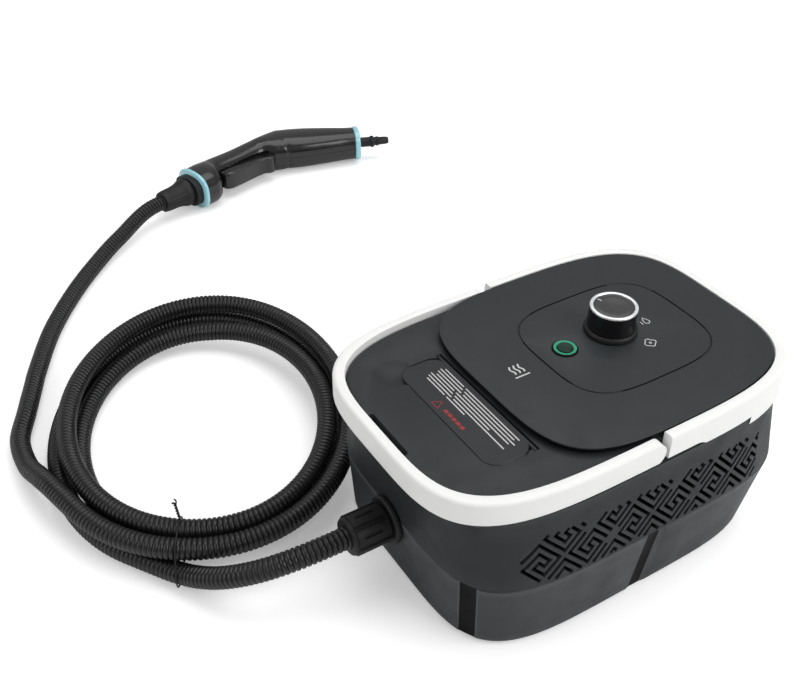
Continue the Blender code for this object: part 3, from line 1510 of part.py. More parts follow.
def make_gun_rear():
    start = handle_length + gap
    bore = gun_tube_radius + gap
    ring = ring_plate("rear_ring", start, rear_ring_width, rear_ring_proud, 1.0, bore,
                      material("ring_plastic", pale_blue, 0.3))
    collar_start = start + rear_ring_width + gap
    collar = ring_plate("rear_collar", collar_start, collar_width, 0, collar_share, bore,
                        material("collar_plastic", dark_grey, 0.35))
    front = collar_start + collar_width + gap
    broad = gun_half_width * collar_share * handle_section_shares[0][3] - slit
    profile = [(broad, 0), (broad, connector_length / 4), (connector_rear_radius, connector_length - slit),
               (connector_rear_radius - slit, connector_length), (hose_radius + gap, connector_length),
               (hose_radius + gap, connector_length - connector_mouth), (bore, connector_length - connector_mouth),
               (bore, 0)]
    back = gun_point(1, 0) - gun_point(0, 0)
    connector = turned("hose_connector", profile, gun_point(front, 0), back,
                       material("connector_plastic", black, 0.4), closed=True)
    return ring, collar, connector


def make_muzzle():
    _, top, bottom, half = barrel_section_shares[-1]
    bore = nozzle_stub_radius + gap
    rings = []
    swell = (0, muzzle_ring_proud, muzzle_ring_proud, -muzzle_ring_proud)
    for share, grow in zip(muzzle_ring_shares, swell):
        centre = Vector((barrel_length + gap + share * muzzle_ring_width, 0, 0))
        rings.append(section(centre, 0, top * gun_half_height + grow, bottom * gun_half_height - grow,
                             half * gun_half_width + grow))
    for offset in (muzzle_ring_width, 0):
        centre = Vector((barrel_length + gap + offset, 0, 0))
        rings.append(section(centre, 0, bore, -bore, bore, 2.0))
    ring = loft("muzzle_ring", rings, material("muzzle_plastic", pale_blue, 0.3), closed=True)
    base = barrel_length
    bump_start = base + nozzle_length * nozzle_bump_share
    nozzle = turned("nozzle", [
        (nozzle_stub_radius, base - nozzle_socket_depth), (nozzle_stub_radius, base + muzzle_ring_width),
        (nozzle_radius, base + muzzle_ring_width + nozzle_bump), (nozzle_radius, bump_start),
        (nozzle_radius + nozzle_bump, bump_start + nozzle_bump),
        (nozzle_radius + nozzle_bump, bump_start + 3 * nozzle_bump), (nozzle_tip_radius + nozzle_bump,
                                                                     bump_start + 5 * nozzle_bump),
        (nozzle_tip_radius, base + nozzle_length), (nozzle_bore, base + nozzle_length),
        (nozzle_bore, base - nozzle_socket_depth)], (0, 0, 0), (1, 0, 0), material("nozzle_plastic", black, 0.35),
        small_sides * 4 // 3, closed=True)
    return ring, nozzle


# Assembly
def build():
    deck = make_top_deck()
    make_handle_pins(deck)
    make_casing_screws(deck)
    pan = make_base_pan()
    add_tank_rests(pan)
    make_belt()
    make_panel()
    make_trim()
    make_feet()
    make_tank()
    make_boiler()
    make_pump()
    make_board()
    make_inner_tubes()
    make_gland()
    make_inlet()
    make_dial_switch()
    make_lid_pin()
    make_hose()
    make_tie()

    carry(hub("handle_pivot", (handle_pivot_x, 0, handle_pivot_z)), make_handle())
    carry(hub("lid_hinge", (hinge_x, 0, hinge_z)), make_lid(), make_lid_seal())
    carry(hub("dial_axis", (dial_x, dial_y, panel_height)), *make_dial())
    _, button, _ = make_button()
    carry(hub("button_axis", (button_x, button_y, panel_height)), button)

    frame = gun_frame()
    body = hub("gun", Matrix.Identity(4))
    fixed = [*make_gun_shells(), *make_trigger_fittings(), make_gun_tube(), *make_gun_rear()]
    ring, nozzle = make_muzzle()
    trigger = make_trigger()
    trigger_hub = hub("trigger_pivot", gun_point(trigger_pivot_along, trigger_pivot_rise))
    nozzle_hub = hub("nozzle_socket", (barrel_length, 0, 0))
    carry(trigger_hub, trigger)
    carry(nozzle_hub, nozzle)
    carry(body, *fixed, ring, trigger_hub, nozzle_hub)
    body.matrix_world = frame
    bpy.context.view_layer.update()


build()
bpy.data.materials.remove(plain)
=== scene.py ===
"""Looks of the steam cleaner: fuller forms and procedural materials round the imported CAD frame.

Everything is in metres in the CAD frame: the origin is the middle of the main unit's underside, +X runs towards
the end with the dial, +Z is up, and the hose leaves the -X end.
"""
from math import acos, asin, copysign, cos, hypot, pi, radians, sin, sqrt, tau

import bmesh
import bpy
from mathutils import Matrix, Vector


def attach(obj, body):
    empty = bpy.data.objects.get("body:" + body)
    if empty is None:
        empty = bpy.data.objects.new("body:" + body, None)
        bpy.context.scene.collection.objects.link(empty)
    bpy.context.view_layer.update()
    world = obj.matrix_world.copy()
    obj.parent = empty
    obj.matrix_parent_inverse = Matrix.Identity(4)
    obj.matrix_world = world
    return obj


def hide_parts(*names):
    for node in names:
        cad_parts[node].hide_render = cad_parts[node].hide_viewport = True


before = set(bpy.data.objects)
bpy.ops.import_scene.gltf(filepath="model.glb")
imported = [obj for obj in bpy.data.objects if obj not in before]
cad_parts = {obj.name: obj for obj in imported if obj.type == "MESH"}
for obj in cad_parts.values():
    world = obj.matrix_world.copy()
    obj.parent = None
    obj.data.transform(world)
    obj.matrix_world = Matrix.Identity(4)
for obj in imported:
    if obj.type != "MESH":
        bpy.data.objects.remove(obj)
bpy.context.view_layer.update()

# ---- sizes, as in the CAD
gap = 0.0003
slit = 0.0008
wall = 0.0025
table = -0.0015
edge_z, seam_z, neck_z, lip_z, belt_z, deck_z, panel_z = 0.005, 0.058, 0.1085, 0.1145, 0.1175, 0.133, 0.1385
band_reach, band_half, band_thick, band_low, band_high = 0.152, 0.1004, 0.0074, 0.1182, 0.137
deck_reach = band_reach - band_thick - slit
deck_half = band_half - band_thick - slit
pivot_x, pivot_z, end_radius = -0.0066, (band_low + band_high) / 2, (band_high - band_low) / 2
dial_x, dial_y, dial_r, dial_h = 0.047, 0.0056, 0.0169, 0.0216
button_x, button_y, button_r, lamp_r = 0.0055, 0.005, 0.0056, 0.0093
panel_end_x = -(0.210 - deck_reach)
lid_x0, lid_x1, lid_y0, lid_y1, lid_corner = -0.104, panel_end_x - 0.0030, -0.060, 0.050, 0.012
gland_x, gland_y, gland_z = -0.1382, 0.004, 0.050
hose_r = 0.0080
lid_thick, knuckle_r, pocket_room = 0.0022, 0.0016, 0.0006
dimple_x, dimple_y, dimple_r, dimple_deep = -0.106, 0.049, 0.015, 0.0036
panel_skin, board_top, gland_start, gland_neck_r = 0.0022, 0.1144, -0.126, 0.0122
over = 0.003  # how far a cutter reaches past what it cuts


# ---- camera
def make_camera():
    focal_pixels, picture_width, sensor = 1019, 800, 36.0
    data = bpy.data.cameras.new("photo_camera")
    data.sensor_fit = "HORIZONTAL"
    data.sensor_width = sensor
    data.lens = sensor * focal_pixels / picture_width
    data.clip_start = 0.01
    data.dof.use_dof = False
    camera = placed("photo_camera", data)
    camera.location = (-0.3876, -0.4043, 0.5711)
    camera.rotation_euler = (0.9116, -0.00877, -0.55605)
    bpy.context.scene.camera = camera


# ---- mesh helpers
def spow(value, power):
    return copysign(abs(value) ** power, value)


def placed(name, data):
    """A new object of a mesh, lamp or camera, in the scene."""
    made = bpy.data.objects.new(name, data)
    bpy.context.scene.collection.objects.link(made)
    return made


def shade(mesh, angle=40):
    mesh.shade_smooth()
    mesh.set_sharp_from_angle(angle=radians(angle))


def add(name, vertices, faces, angle=40):
    mesh = bpy.data.meshes.new(name)
    mesh.from_pydata([tuple(v) for v in vertices], [], faces)
    work = bmesh.new()
    work.from_mesh(mesh)
    bmesh.ops.remove_doubles(work, verts=work.verts, dist=1e-6)
    bmesh.ops.recalc_face_normals(work, faces=work.faces)
    work.to_mesh(mesh)
    work.free()
    shade(mesh, angle)
    return placed(name, mesh)


def loft(name, rings, closed=False, angle=40):
    count = len(rings[0])
    vertices = [point for ring in rings for point in ring]
    spans = len(rings) if closed else len(rings) - 1
    faces = []
    for span in range(spans):
        a, b = span * count, ((span + 1) % len(rings)) * count
        for index in range(count):
            after = (index + 1) % count
            faces.append((a + index, a + after, b + after, b + index))
    if not closed:
        faces.append(tuple(range(count)))
        faces.append(tuple(range(len(vertices) - count, len(vertices))))
    return add(name, vertices, faces, angle)


def angles(count):
    return [tau * index / count for index in range(count)]


def mm(pairs, base=0.0):
    """Metres from millimetres, the second of each pair counted from a base."""
    return [(a / 1000, base + b / 1000) for a, b in pairs]


def outline(hose_end, panel_end, half, z, power=4.0, points=160):
    middle, reach = (panel_end - hose_end) / 2, (panel_end + hose_end) / 2
    return [Vector((middle + reach * spow(cos(a), 2 / power), half * spow(sin(a), 2 / power), z))
            for a in angles(points)]


def evenly(inset, z, reach=deck_reach, half=deck_half, points=160):
    """An outline as long on both sides of the middle, drawn in by an inset."""
    return outline(reach - inset, reach - inset, half - inset, z, points=points)


def shoulder(high, radius, steps=5):
    """Inset and height pairs of a side's rounded top edge."""
    turns = [pi / 2 * step / steps for step in range(steps + 1)]
    return [(radius * (1 - cos(a)), high - radius * (1 - sin(a))) for a in turns]


def along_frame(start, direction):
    forward = Vector(direction).normalized()
    side = Vector((0, 0, 1)).cross(forward)
    if side.length < 1e-6:
        side = Vector((1, 0, 0))
    side.normalize()
    turn = Matrix((side, forward.cross(side), forward)).transposed().to_4x4()
    return Matrix.Translation(Vector(start)) @ turn


def turned(name, profile, start, direction=(0, 0, 1), sides=96, closed=False, angle=40, shape=None):
    place = along_frame(start, direction)
    rings = []
    for radius, distance in profile:
        reaches = [(shape(radius, distance, a) if shape else radius, a) for a in angles(sides)]
        rings.append([place @ Vector((r * cos(a), r * sin(a), distance)) for r, a in reaches])
    return loft(name, rings, closed, angle)


def arc(centre, radius, start, end, steps):
    turns = [radians(start + (end - start) * i / steps) for i in range(steps + 1)]
    return [(centre[0] + radius * cos(a), centre[1] + radius * sin(a)) for a in turns]


def rounded_box(x0, y0, x1, y1, r, steps=8):
    corners = ((x1 - r, y1 - r), (x0 + r, y1 - r), (x0 + r, y0 + r), (x1 - r, y0 + r))
    return [point for i, centre in enumerate(corners) for point in arc(centre, r, 90 * i, 90 * i + 90, steps)]


def prism(name, points, low, high, axis="z"):
    def place(p, level):
        return Vector((p[0], level, p[1])) if axis == "y" else Vector((p[0], p[1], level))
    return loft(name, [[place(p, level) for p in points] for level in (low, high)])


def box(name, low, high):
    return prism(name, [(low[0], low[1]), (high[0], low[1]), (high[0], high[1]), (low[0], high[1])], low[2], high[2])


def bake(piece):
    graph = bpy.context.evaluated_depsgraph_get()
    mesh = bpy.data.meshes.new_from_object(piece.evaluated_get(graph))
    piece.modifiers.clear()
    piece.data = mesh


def boolean(piece, others, operation):
    for other in others:
        step = piece.modifiers.new("step", "BOOLEAN")
        step.operation, step.solver, step.object = operation, "EXACT", other
        bake(piece)
        bpy.data.objects.remove(other, do_unlink=True)
    piece.data.materials.clear()
    shade(piece.data)
    return piece


def cut(piece, *others):
    return boolean(piece, others, "DIFFERENCE")


def soften(piece, width, segments, limit):
    """Round the crisp edges a little and keep the flats flat."""
    step = piece.modifiers.new("soft", "BEVEL")
    step.width, step.segments = width, segments
    step.limit_method, step.angle_limit = "ANGLE", radians(limit)
    step.harden_normals = True
    bake(piece)


def merge(name, pieces):
    """Several closed shells as one object."""
    work = bmesh.new()
    for piece in pieces:
        work.from_mesh(piece.data)
    mesh = bpy.data.meshes.new(name)
    work.to_mesh(mesh)
    work.free()
    for piece in pieces:
        bpy.data.objects.remove(piece, do_unlink=True)
    shade(mesh)
    return placed(name, mesh)


make_camera()


# ---- materials
def put(made, **inputs):
    """Set some inputs of a shader node; a space in an input's name is written as an underscore."""
    for name, value in inputs.items():
        made.inputs[name.replace("_", " ")].default_value = value
    return made


def node(tree, kind, **inputs):
    return put(tree.nodes.new("ShaderNode" + kind), **inputs)


def material(name):
    made = bpy.data.materials.new(name)
    made.use_nodes = True
    tree = made.node_tree
    return made, tree, tree.links.new, tree.nodes["Principled BSDF"]


def look(name, colour, rough=0.5, tint=0.06, scuff=0.07, grain=1400.0, depth=0.10, metal=0.0, coat=0.0,
         specular=0.5, edge=0.0, stretch=(1, 1, 1), transmission=0.0, glow=0.0):
    """Moulded plastic, rubber or metal: broad colour drift, patchy gloss, fine grain and paler edges, a painted
    highlight.
    """
    broad, bump_height = 9.0, 0.0003
    made, tree, link, shader = material(name)
    stretched = node(tree, "Mapping", Scale=stretch)
    link(node(tree, "TexCoord").outputs["Object"], stretched.inputs["Vector"])

    def noise(scale, detail):
        speckle = node(tree, "TexNoise", Scale=scale, Detail=detail)
        link(stretched.outputs["Vector"], speckle.inputs["Vector"])
        return speckle.outputs["Fac"]

    def blend(factor, shown):
        mix = tree.nodes.new("ShaderNodeMix")
        mix.data_type = "RGBA"
        mix.inputs["B"].default_value = (*[min(c, 1) for c in shown], 1)
        link(factor, mix.inputs["Factor"])
        return mix

    mix = blend(noise(broad, 3.0), [c * (1 + tint) for c in colour])
    mix.inputs["A"].default_value = (*[c * (1 - tint) for c in colour], 1)
    colour_out = mix.outputs["Result"]
    # painted highlight: the edges are made paler where the mesh is pointy, by the edge amount
    if edge:
        painted_edge_highlight = node(tree, "MapRange", From_Min=0.52, From_Max=0.60, To_Max=edge)
        link(node(tree, "NewGeometry").outputs["Pointiness"], painted_edge_highlight.inputs["Value"])
        edge_highlight_mix = blend(painted_edge_highlight.outputs["Result"], [c * 3.0 + 0.03 for c in colour])
        link(colour_out, edge_highlight_mix.inputs["A"])
        colour_out = edge_highlight_mix.outputs["Result"]
    link(colour_out, shader.inputs["Base Color"])

    gloss = node(tree, "MapRange", From_Min=0.3, From_Max=0.7, To_Min=max(rough - scuff, 0.03), To_Max=rough + scuff)
    link(noise(broad * 7, 5.0), gloss.inputs["Value"])
    link(gloss.outputs["Result"], shader.inputs["Roughness"])
    bump = node(tree, "Bump", Strength=depth, Distance=bump_height)
    link(noise(grain, 2.0), bump.inputs["Height"])
    link(bump.outputs["Normal"], shader.inputs["Normal"])

    put(shader, Metallic=metal, Specular_IOR_Level=specular, Coat_Weight=coat, Coat_Roughness=0.12,
        Transmission_Weight=transmission)
    if glow:
        put(shader, Emission_Color=(*colour, 1), Emission_Strength=glow)
    return made


deck_look = look("satin_charcoal", (0.021, 0.024, 0.026), 0.46, edge=0.25, depth=0.12, specular=0.22)
panel_look = look("satin_panel", (0.022, 0.025, 0.027), 0.42, edge=0.25, depth=0.10, specular=0.22)
belt_look = look("moulded_charcoal", (0.019, 0.022, 0.024), 0.50, edge=0.15, grain=1100, depth=0.16, specular=0.2)
pan_look = look("moulded_grey", (0.034, 0.038, 0.041), 0.46, edge=0.5, grain=1100, depth=0.16, specular=0.22)
# near-black, used as painted shade on the pan's recess floors and on the panel's side walls and groove
black_and_shade_look = look("black_and_painted_shade", (0.004, 0.004, 0.005), 0.6, depth=0.1, specular=0.08)
white_look = look("gloss_white", (0.78, 0.78, 0.77), 0.36, tint=0.01, scuff=0.02, grain=2500, depth=0.01,
                  specular=0.3)
label_look = look("smoked_lid", (0.017, 0.018, 0.021), 0.36, depth=0.05, specular=0.25)
gloss_black = look("gloss_black", (0.006, 0.006, 0.007), 0.22, depth=0.04, coat=0.2, specular=0.35)
gun_look = look("gun_black", (0.0075, 0.0078, 0.0082), 0.24, depth=0.05, coat=0.3, scuff=0.05, specular=0.4)
matte_black = look("matte_black", (0.009, 0.009, 0.010), 0.50, depth=0.2, grain=900, specular=0.3)
cap_look = look("dial_cap_grey", (0.030, 0.030, 0.032), 0.35, depth=0.08)
chrome_look = look("satin_chrome", (0.86, 0.87, 0.88), 0.20, tint=0.02, scuff=0.05, metal=0.55, stretch=(1, 1, 30),
                   grain=300, depth=0.03)
lamp_look = look("lamp_green", (0.03, 0.26, 0.15), 0.40, tint=0.04, depth=0.03, specular=0.2, glow=0.12)
cyan_look = look("pale_cyan", (0.30, 0.60, 0.68), 0.22, tint=0.05, depth=0.03, coat=0.5)
hose_look = look("conduit_black", (0.007, 0.0073, 0.008), 0.34, tint=0.15, scuff=0.12, grain=1600, depth=0.15,
                 specular=0.4)
rubber_look = look("rubber_black", (0.012, 0.012, 0.012), 0.80, grain=700, depth=0.5)
steel_look = look("bright_steel", (0.62, 0.63, 0.64), 0.25, metal=1.0, scuff=0.10, stretch=(1, 1, 25), grain=400)
cast_look = look("cast_metal", (0.50, 0.50, 0.51), 0.45, metal=1.0, grain=450, depth=0.6)
tank_look = look("tank_plastic", (0.55, 0.62, 0.66), 0.30, depth=0.05, transmission=0.35)
tube_look = look("silicone", (0.75, 0.74, 0.70), 0.45, depth=0.1)
wire_look = look("wire_black", (0.012, 0.012, 0.012), 0.55, depth=0.2)
wire_white = look("wire_white", (0.70, 0.69, 0.66), 0.55, depth=0.2)
print_look = look("print_grey", (0.50, 0.50, 0.50), 0.6, tint=0.10, depth=0.1, specular=0.2)
print_red = look("print_red", (0.26, 0.035, 0.035), 0.6, tint=0.10, depth=0.1, specular=0.2)


def board_look():
    """Green board laminate with rows of paler copper tracks."""
    made = look("board_laminate", (0.015, 0.13, 0.05), 0.35, depth=0.1)
    tree = made.node_tree
    tracks = node(tree, "TexBrick", Scale=130.0, Color1=(0.015, 0.13, 0.05, 1), Color2=(0.02, 0.16, 0.06, 1),
                  Mortar=(0.05, 0.26, 0.09, 1), Mortar_Size=0.04)
    tree.links.new(node(tree, "TexCoord").outputs["Object"], tracks.inputs["Vector"])
    tree.links.new(tracks.outputs["Color"], tree.nodes["Principled BSDF"].inputs["Base Color"])
    return made


laminate_look = board_look()


def second_look(piece, finish, chosen):
    """Another material on the faces that a test picks."""
    piece.data.materials.append(finish)
    for face in piece.data.polygons:
        if chosen(face):
            face.material_index = 1


def dress(piece, finish, body, *nodes):
    piece.data.materials.clear()
    piece.data.materials.append(finish)
    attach(piece, body)
    if nodes:
        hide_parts(*nodes)
    return piece


# ---- hose
coil_x, coil_y, coil_yaw = -0.1934, 0.2001, radians(-31.9)
coil_half_width, coil_half_depth, coil_skew_share = 0.0953, 0.1188, -0.1067
strand_pitch = 2 * hose_r + 0.0016
coil_start, coil_end, coil_reverse, tie_turn = 0.06, 3.12, 1.5, 1.01
lead_route = ((-0.2018, 0.0064, 0.0479), (-0.2208, 0.0128, 0.0423), (-0.2358, 0.0224, 0.0347),
              (-0.2483, 0.0351, 0.0257), (-0.2576, 0.0482, 0.0179), (-0.2655, 0.0616, 0.0119))
tail_route = ((-0.3260, 0.2030, 0.0185), (-0.3290, 0.2280, 0.0105), (-0.3260, 0.2630, 0.0066),
              (-0.3120, 0.2940, 0.0066), (-0.2985, 0.3230, 0.0066), (-0.2865, 0.3480, 0.0066),
              (-0.2595, 0.3965, 0.0066), (-0.2235, 0.4450, 0.0066), (-0.1880, 0.4830, 0.0075),
              (-0.1540, 0.5100, 0.0118))


def coil_point(turn):
    a = radians(-90) - tau * turn
    away = strand_pitch * abs(coil_reverse - turn)
    climb = min(max((turn - coil_reverse) * 2 + 0.5, 0.0), 1.0)
    climb = climb * climb * (3 - 2 * climb)
    across = (coil_half_width + away) * cos(a) + coil_skew_share * coil_half_depth * sin(a)
    deep = (coil_half_depth + away) * sin(a) + 0.8 * away * ((1 + sin(a)) / 2) ** 3
    lift = 2 * 0.0012 * max(cos(tau * (turn - tie_turn)), 0) ** 6
    return Vector((coil_x + across * cos(coil_yaw) - deep * sin(coil_yaw),
                   coil_y + across * sin(coil_yaw) + deep * cos(coil_yaw),
                   table + hose_r + lift + strand_pitch * climb))


def coil_heading(turn):
    return (coil_point(turn + 0.001) - coil_point(turn - 0.001)).normalized()


def cubic(t, first, leaving, last, arriving):
    """The value at a share t of the way between two values with the given slopes."""
    return (first * (2 * t ** 3 - 3 * t ** 2 + 1) + leaving * (t ** 3 - 2 * t ** 2 + t)
            + last * (3 * t ** 2 - 2 * t ** 3) + arriving * (t ** 3 - t ** 2))


def stretch(points, steps=8):
    """A smooth route whose first and last runs are straight."""
    points = [Vector(p) for p in points]
    inner = points[1:-1]
    slopes = [(points[i + 1] - points[i - 1]) / 2 for i in range(1, len(points) - 1)]
    slopes[0] = (points[1] - points[0]).normalized() * (points[2] - points[1]).length
    slopes[-1] = (points[-1] - points[-2]).normalized() * (points[-2] - points[-3]).length
    path = [points[0]]
    for i in range(len(inner) - 1):
        for step in range(steps):
            path.append(cubic(step / steps, inner[i], slopes[i], inner[i + 1], slopes[i + 1]))
    return path + [points[-2], points[-1]]


def resample(path, positions):
    """Points at the given distances along a path."""
    lengths = [0.0]
    for a, b in zip(path, path[1:]):
        lengths.append(lengths[-1] + (b - a).length)
    result, segment = [], 0
    for target in positions:
        while segment < len(path) - 2 and lengths[segment + 1] < target:
            segment += 1
        span = lengths[segment + 1] - lengths[segment]
        result.append(path[segment].lerp(path[segment + 1], (target - lengths[segment]) / span if span else 0))
    return result


def path_length(path):
    return sum((b - a).length for a, b in zip(path, path[1:]))


# The gun lies on its side, so its own plane is level
gun_yaw, handle_slope, handle_length, barrel_length = radians(-20), radians(35.7), 0.125, 0.0865
gun_high, gun_wide = 0.0245, 0.0200
handle_shares = ((1.00, 0.98, -0.98, 0.98), (0.91, 1.00, -0.98, 1.00), (0.83, 1.00, -0.80, 0.96),
                 (0.77, 1.00, -0.30, 0.86), (0.50, 0.98, -0.24, 0.82), (0.25, 0.98, -0.28, 0.88),
                 (0.15, 1.00, -0.72, 0.97))
barrel_shares = ((0.00, 1.00, -1.00, 1.00), (0.18, 1.00, -1.00, 1.00), (0.58, 0.89, -0.87, 0.94),
                 (1.00, 0.71, -0.71, 0.86))


def gun_place():
    rest = table + max(gun_wide, gun_wide * 0.98 + 0.0010) + gap
    heading = gun_yaw + handle_slope
    bend = Vector((-0.0500 + handle_length * cos(heading), 0.5550 + handle_length * sin(heading), rest))
    turn = Matrix(((cos(gun_yaw), 0, -sin(gun_yaw)), (sin(gun_yaw), 0, cos(gun_yaw)),
                   (0, -1, 0))).to_4x4()
    return Matrix.Translation(bend) @ turn


gun_frame = gun_place()


def gun_point(along, rise, y=0.0):
    return Vector((-along * cos(handle_slope) - rise * sin(handle_slope), y,
                   -along * sin(handle_slope) + rise * cos(handle_slope)))


connector_start = handle_length + gap + 0.0040 + gap + 0.0075 + gap


def lead_path():
    gate = coil_point(coil_start) - coil_heading(coil_start) * (2 * hose_r + gap)
    nose = Vector((-0.1617, gland_y, gland_z))
    return stretch([nose, nose - Vector((2 * hose_r, 0, 0))] + list(lead_route)
                   + [gate - coil_heading(coil_start) * 2 * hose_r, gate])


def hose_path():
    ahead, behind = coil_heading(coil_end) * 2 * hose_r, coil_heading(coil_start) * 2 * hose_r
    end = coil_point(coil_end) + ahead
    coil = [coil_point(coil_start + (coil_end - coil_start) * i / 400) for i in range(401)]
    leave = end + coil_heading(coil_end) * gap
    back = gun_frame @ gun_point(connector_start + 0.034 - 0.0095 + gap, 0)
    handle = gun_frame.to_3x3() @ Vector((cos(handle_slope), 0, sin(handle_slope)))
    tail = stretch([leave, leave + ahead] + list(tail_route) + [back - handle * 2 * hose_r, back])
    path = lead_path() + [coil_point(coil_start) - behind] + coil + [end] + tail
    tidy = [path[0]]
    for point in path[1:]:
        if (point - tidy[-1]).length > 0.0005:
            tidy.append(point)
    return tidy


def sweep(name, path, radius, sides=8, closed=False, headings=None, side=None, angle=60):
    """A round wire or tube along a path, with one radius or one for each point."""
    rings, count = [], len(path)
    for index, point in enumerate(path):
        if headings:
            forward = headings[index].normalized()
        elif closed:
            forward = (path[(index + 1) % count] - path[index - 1]).normalized()
        else:
            forward = (path[min(index + 1, count - 1)] - path[max(index - 1, 0)]).normalized()
        if side is None:
            side = forward.orthogonal().normalized()
        side = (side - forward * side.dot(forward)).normalized()
        up = forward.cross(side)
        r = radius[index] if isinstance(radius, list) else radius
        rings.append([point + (side * cos(tau * i / sides) + up * sin(tau * i / sides)) * r
                      for i in range(sides)])
    return loft(name, rings, closed, angle)


def make_hose():
    """Corrugated conduit: rounded ribs, one every 3.7 mm, skinned along the route."""
    rib_pitch, look_along, valley_share = 0.0037, 0.003, 0.86
    path = hose_path()
    total = path_length(path)
    ribs = round(total / rib_pitch)
    pitch = total / ribs
    stations, radii = [], []
    for rib in range(ribs):
        for share, radius in ((0.0, valley_share), (0.18, 0.965), (0.5, 1.0), (0.82, 0.965)):
            stations.append((rib + share) * pitch)
            radii.append(radius * hose_r)
    stations.append(total)
    radii.append(valley_share * hose_r)
    ahead = resample(path, [min(s + look_along, total) for s in stations])
    behind = resample(path, [max(s - look_along, 0.0) for s in stations])
    headings = [a - b for a, b in zip(ahead, behind)]
    hose = sweep("hose", resample(path, stations), radii, 20, headings=headings,
                 side=Vector((0, 0, 1)).cross(headings[0]).normalized(), angle=80)
    dress(hose, hose_look, "unit", "hose_lead", "hose_coil", "hose_tail")
    return hose, resample(path, [total * i / 420 for i in range(421)]), total


def make_tie():
    """A plastic-coated wire twist tie round the bundle, with its two ends twisted together on top."""
    wire = 0.0006
    grip = hose_r + 0.0006 + wire
    along = coil_heading(tie_turn)
    strands = [coil_point(tie_turn + layer) for layer in range(3)]
    lead = lead_path()
    fine = resample(lead, [path_length(lead) * i / 400 for i in range(401)])
    beside = [point for point in fine if abs((point - strands[0]).dot(along)) < hose_r / 2]
    strands += [beside[0], beside[-1]]
    middle = sum(strands, Vector()) / len(strands)
    out = Vector((middle.x - coil_x, middle.y - coil_y, 0)).normalized()
    flat = [((s - middle).dot(out), s.z - middle.z) for s in strands]

    def reach(angle):
        return max(u * cos(angle) + v * sin(angle) for u, v in flat) + grip

    loop = []
    for angle in angles(72):
        slope = (reach(angle + 0.05) - reach(angle - 0.05)) / 0.1
        u = reach(angle) * cos(angle) - slope * sin(angle)
        v = reach(angle) * sin(angle) + slope * cos(angle)
        loop.append(middle + out * u + Vector((0, 0, v)))
    ring = sweep("tie_loop", loop, wire, 8, closed=True)
    top = max(loop, key=lambda p: p.z - 0.2 * (p - middle).dot(out))
    ends = []
    for phase in (0.0, pi):
        path = []
        for index in range(40):
            t = index / 39
            angle = phase + tau * 3.2 * t
            spread = 2.5 * (t - 0.85) / 0.15 if t > 0.85 else 0.0
            turn = Vector((cos(angle), sin(angle), 0)) * wire * (1.0 + spread)
            path.append(top + Vector((0, 0, wire)) + (Vector((0, 0, 0.013)) - out * 0.004 + along * 0.003) * t + turn)
        ends.append(sweep("tie_end", path, wire * 0.95, 8))
    tie = merge("twist_tie", [ring] + ends)
    return dress(tie, matte_black, "unit", "hose_tie")


hose, hose_line, hose_total = make_hose()
tie = make_tie()


# ---- base pan
pan_power = 4.6
sole, edge, seam, neck = (0.127, 0.128, 0.096), (0.133, 0.134, 0.102), (0.137, 0.148, 0.1055), (0.138, 0.147, 0.0998)


def between(low, high, share, z, inset=0.0, power=pan_power):
    """The outline a share of the way from one outline's reaches to another's."""
    return outline(*[a + (b - a) * share - inset for a, b in zip(low, high)], z, power)


def pan_point(angle, z):
    """A point of the pan's wall, at an angle of its outline and a height."""
    share = (z - edge_z) / (seam_z - edge_z)
    hose_end, panel_end, half = [a + (b - a) * share for a, b in zip(edge, seam)]
    middle, reach = (panel_end - hose_end) / 2, (panel_end + hose_end) / 2
    return Vector((middle + reach * spow(cos(angle), 2 / pan_power),
                   half * spow(sin(angle), 2 / pan_power), z))


def gland_hole():
    radius = gland_neck_r + gap
    return turned("gland_hole", [(radius, 0), (radius, 0.03)], (gland_x - 0.006, gland_y, gland_z), (1, 0, 0),
                  sides=48)


